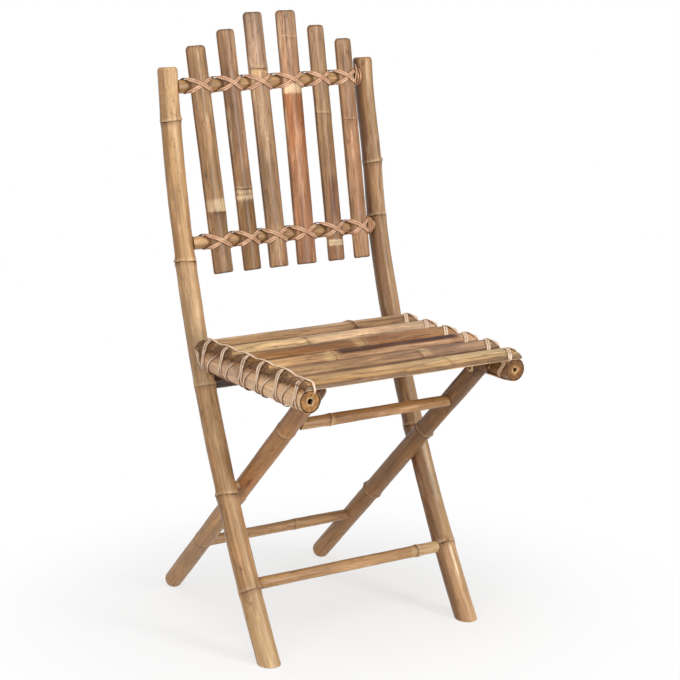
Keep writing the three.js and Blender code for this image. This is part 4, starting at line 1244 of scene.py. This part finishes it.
def right_turn(route, k, reach, crest_out, front_out, seed):
    """The cane at one slat: up past its outer corner, a turn on its crest and down over its front."""
    put, over, half = route.put, route.over, route.half
    last = k == LAST_SLAT
    middle = route.middles[k]
    front = middle - half
    gap = middle - route.pitch / 2
    on_rail = route.on_rail(gap)
    rises_at = middle - 0.45 * half if last else gap + 3.5 * MM
    sway = 1.2 * MM * math.sin(2.1 * k + seed)
    crest = over(k, 0.1) + 0.3 * CANE
    for degrees in (-120, -75, -30, 10):
        route.turn(degrees, middle if last else on_rail + 2 * MM, 0.2 * MM)
    put(reach + (3 if last else 6) * MM, rises_at, route.under - 2 * MM, (1, -0.4, 0.2))
    put(reach + 2 * MM, rises_at + 1.5 * MM, route.under + 0.75 * SEAT_SLAT_EDGE, (0.8, -0.6, 0.5))
    for share, out in ((-0.7, -0.5), (-0.4, -2), (-0.12, -3.5)):
        if share > -0.6 or not last:
            put(reach + out * MM, middle + share * half, over(k, share), (0.25, 0.6 * share, 1))
    put(crest_out + 1 * MM, middle + 2.5 * MM, crest, (0.1, 0.1, 1))
    put(crest_out - 2.5 * MM + sway, middle + 3 * MM, crest, (0, 0, 1))
    for share in (-0.15, -0.4, -0.65, -0.88):
        put(lerp(crest_out - 4 * MM, front_out, -share) + sway, middle + share * half, over(k, share),
            (0, 0.6 * share, 1))
    put(front_out - 1 * MM + sway, front - 0.6 * MM, route.under + 0.4 * SEAT_SLAT_EDGE, (0, -1, 0.1))
    put(front_out - 3 * MM, lerp(front, on_rail, 0.7), route.under - 3 * MM, (-0.3, -0.9, 0))
    for degrees, back in ((165, 6), (195, 14), (225, 20)):
        route.turn(degrees, on_rail + back * MM)


def right_seat_lashing(node, reach, crest_out, front_out, seed):
    """A double strand that runs from slat to slat."""
    route = RailRoute("right")
    for k in SLATS:
        right_turn(route, k, reach, crest_out, front_out, seed)
    lofts = [route.strip(3.8 * MM, seed + 3, beside) for beside in (-1.9 * MM, 1.9 * MM)]
    make_piece(node, "cane", lofts, "seat", cane_skin, sharp=60)


def make_lashings():
    back_lashing("lower_back_lashing", back_rails[0], 101)
    back_lashing("upper_back_lashing", back_rails[1], 111)
    left_seat_lashing("left_seat_lashing", 18 * MM, 15 * MM, 121)
    right_seat_lashing("right_seat_lashing", 4 * MM, -1 * MM, -20 * MM, 131)


# Floor, light and camera

WHITE = (1, 1, 1, 1)
FLOOR_REACH = 12
LIGHT_AIM = np.array([0, 0, 0.5])


def floor_material():
    """Pale paint with the chair's soft shadow, going over to plain white away from the chair."""
    shader = Shader(bpy.data.materials.new("studio_floor_paint"))
    place = shader.node("ShaderNodeNewGeometry").outputs["Position"]
    distance = shader.node("ShaderNodeVectorMath", {0: place}, operation="LENGTH").outputs["Value"]
    grain = shader.noise(place, 900, 2, 0.5)
    shader.surfaced(Base_Color=shader.mix(grain, "f6f5f3", "fbfaf9"),
                    Roughness=shader.ramp(grain, 0.3, 0.7, 0.82, 0.9), Specular_IOR_Level=0.1)
    rays = shader.node("ShaderNodeLightPath").outputs
    seen = shader.math("MAXIMUM", rays["Is Camera Ray"],
                       shader.math("MAXIMUM", rays["Is Glossy Ray"], rays["Is Transmission Ray"]))
    far = shader.times(shader.ramp(distance, 0.2, 0.7, 0.66, 1), seen)
    white = shader.node("ShaderNodeEmission", {"Color": WHITE, "Strength": 1.0}).outputs[0]
    mixed = shader.node("ShaderNodeMixShader", {0: far, 1: shader.surface.outputs[0], 2: white})
    shader.link(mixed.outputs[0], shader.tree.nodes["Material Output"].inputs["Surface"])
    return shader.owner


def make_floor():
    mesh = bpy.data.meshes.new("studio_floor")
    corners = [(x * FLOOR_REACH, y * FLOOR_REACH, 0) for x, y in ((-1, -1), (1, -1), (1, 1), (-1, 1))]
    mesh.from_pydata(corners, [], [(0, 1, 2, 3)])
    floor = bpy.data.objects.new("studio_floor", mesh)
    floor.location.z = -0.2 * MM
    bpy.context.scene.collection.objects.link(floor)
    mesh.materials.append(floor_material())


def make_world(strength):
    """Plain white to the camera, and a soft even light on everything else."""
    world = bpy.data.worlds.new("studio")
    bpy.context.scene.world = world
    shader = Shader(world)
    soft = shader.tree.nodes["Background"]
    soft.inputs["Color"].default_value = WHITE
    soft.inputs["Strength"].default_value = strength
    plain = shader.node("ShaderNodeBackground", {"Color": WHITE, "Strength": 1.0})
    seen = shader.node("ShaderNodeLightPath").outputs["Is Camera Ray"]
    mixed = shader.node("ShaderNodeMixShader", {0: seen, 1: soft.outputs[0], 2: plain.outputs[0]})
    shader.link(mixed.outputs[0], shader.tree.nodes["World Output"].inputs["Surface"])


def softbox(name, azimuth, height, distance, size, power):
    """An area light round the chair: azimuth 0 is in front of it, and 90 to its right."""
    data = bpy.data.lights.new(name, "AREA")
    data.shape = "RECTANGLE"
    data.size, data.size_y = size
    data.energy = power
    lamp = bpy.data.objects.new(name, data)
    turn = math.radians(azimuth)
    lamp.location = np.array([distance * math.sin(turn), -distance * math.cos(turn), height])
    aim = LIGHT_AIM - np.array(lamp.location)
    lamp.rotation_euler = (math.atan2(np.hypot(aim[0], aim[1]), -aim[2]), 0, math.atan2(-aim[0], aim[1]))
    bpy.context.scene.collection.objects.link(lamp)


def make_lights():
    make_world(0.28)
    softbox("key_softbox", 22, 1.3, 2.3, (0.6, 2.2), 35)
    softbox("fill_softbox", -58, 1.3, 2.5, (1.6, 2.0), 21)
    softbox("top_softbox", -30, 2.8, 1.2, (1.6, 1.6), 26)
    softbox("back_softbox", -165, 2.3, 2.6, (2.2, 0.8), 7)


def make_camera():
    data = bpy.data.cameras.new("camera")
    data.lens = 104.598
    data.sensor_width = 36
    camera = bpy.data.objects.new("camera", data)
    camera.location = (-1.6510, -2.6944, 1.1959)
    camera.rotation_euler = (math.radians(90 - 12.817), 0, math.radians(-31.924))
    bpy.context.scene.collection.objects.link(camera)
    bpy.context.scene.camera = camera


make_camera()
make_floor()
make_lights()
make_posts()
make_legs()
make_cross_poles()
make_rails()
make_cross_bar()
make_pins()
dress_hooks()
make_seat_slats()
make_back_slats()
make_lashings()

bpy.context.scene.view_settings.view_transform = "Standard"
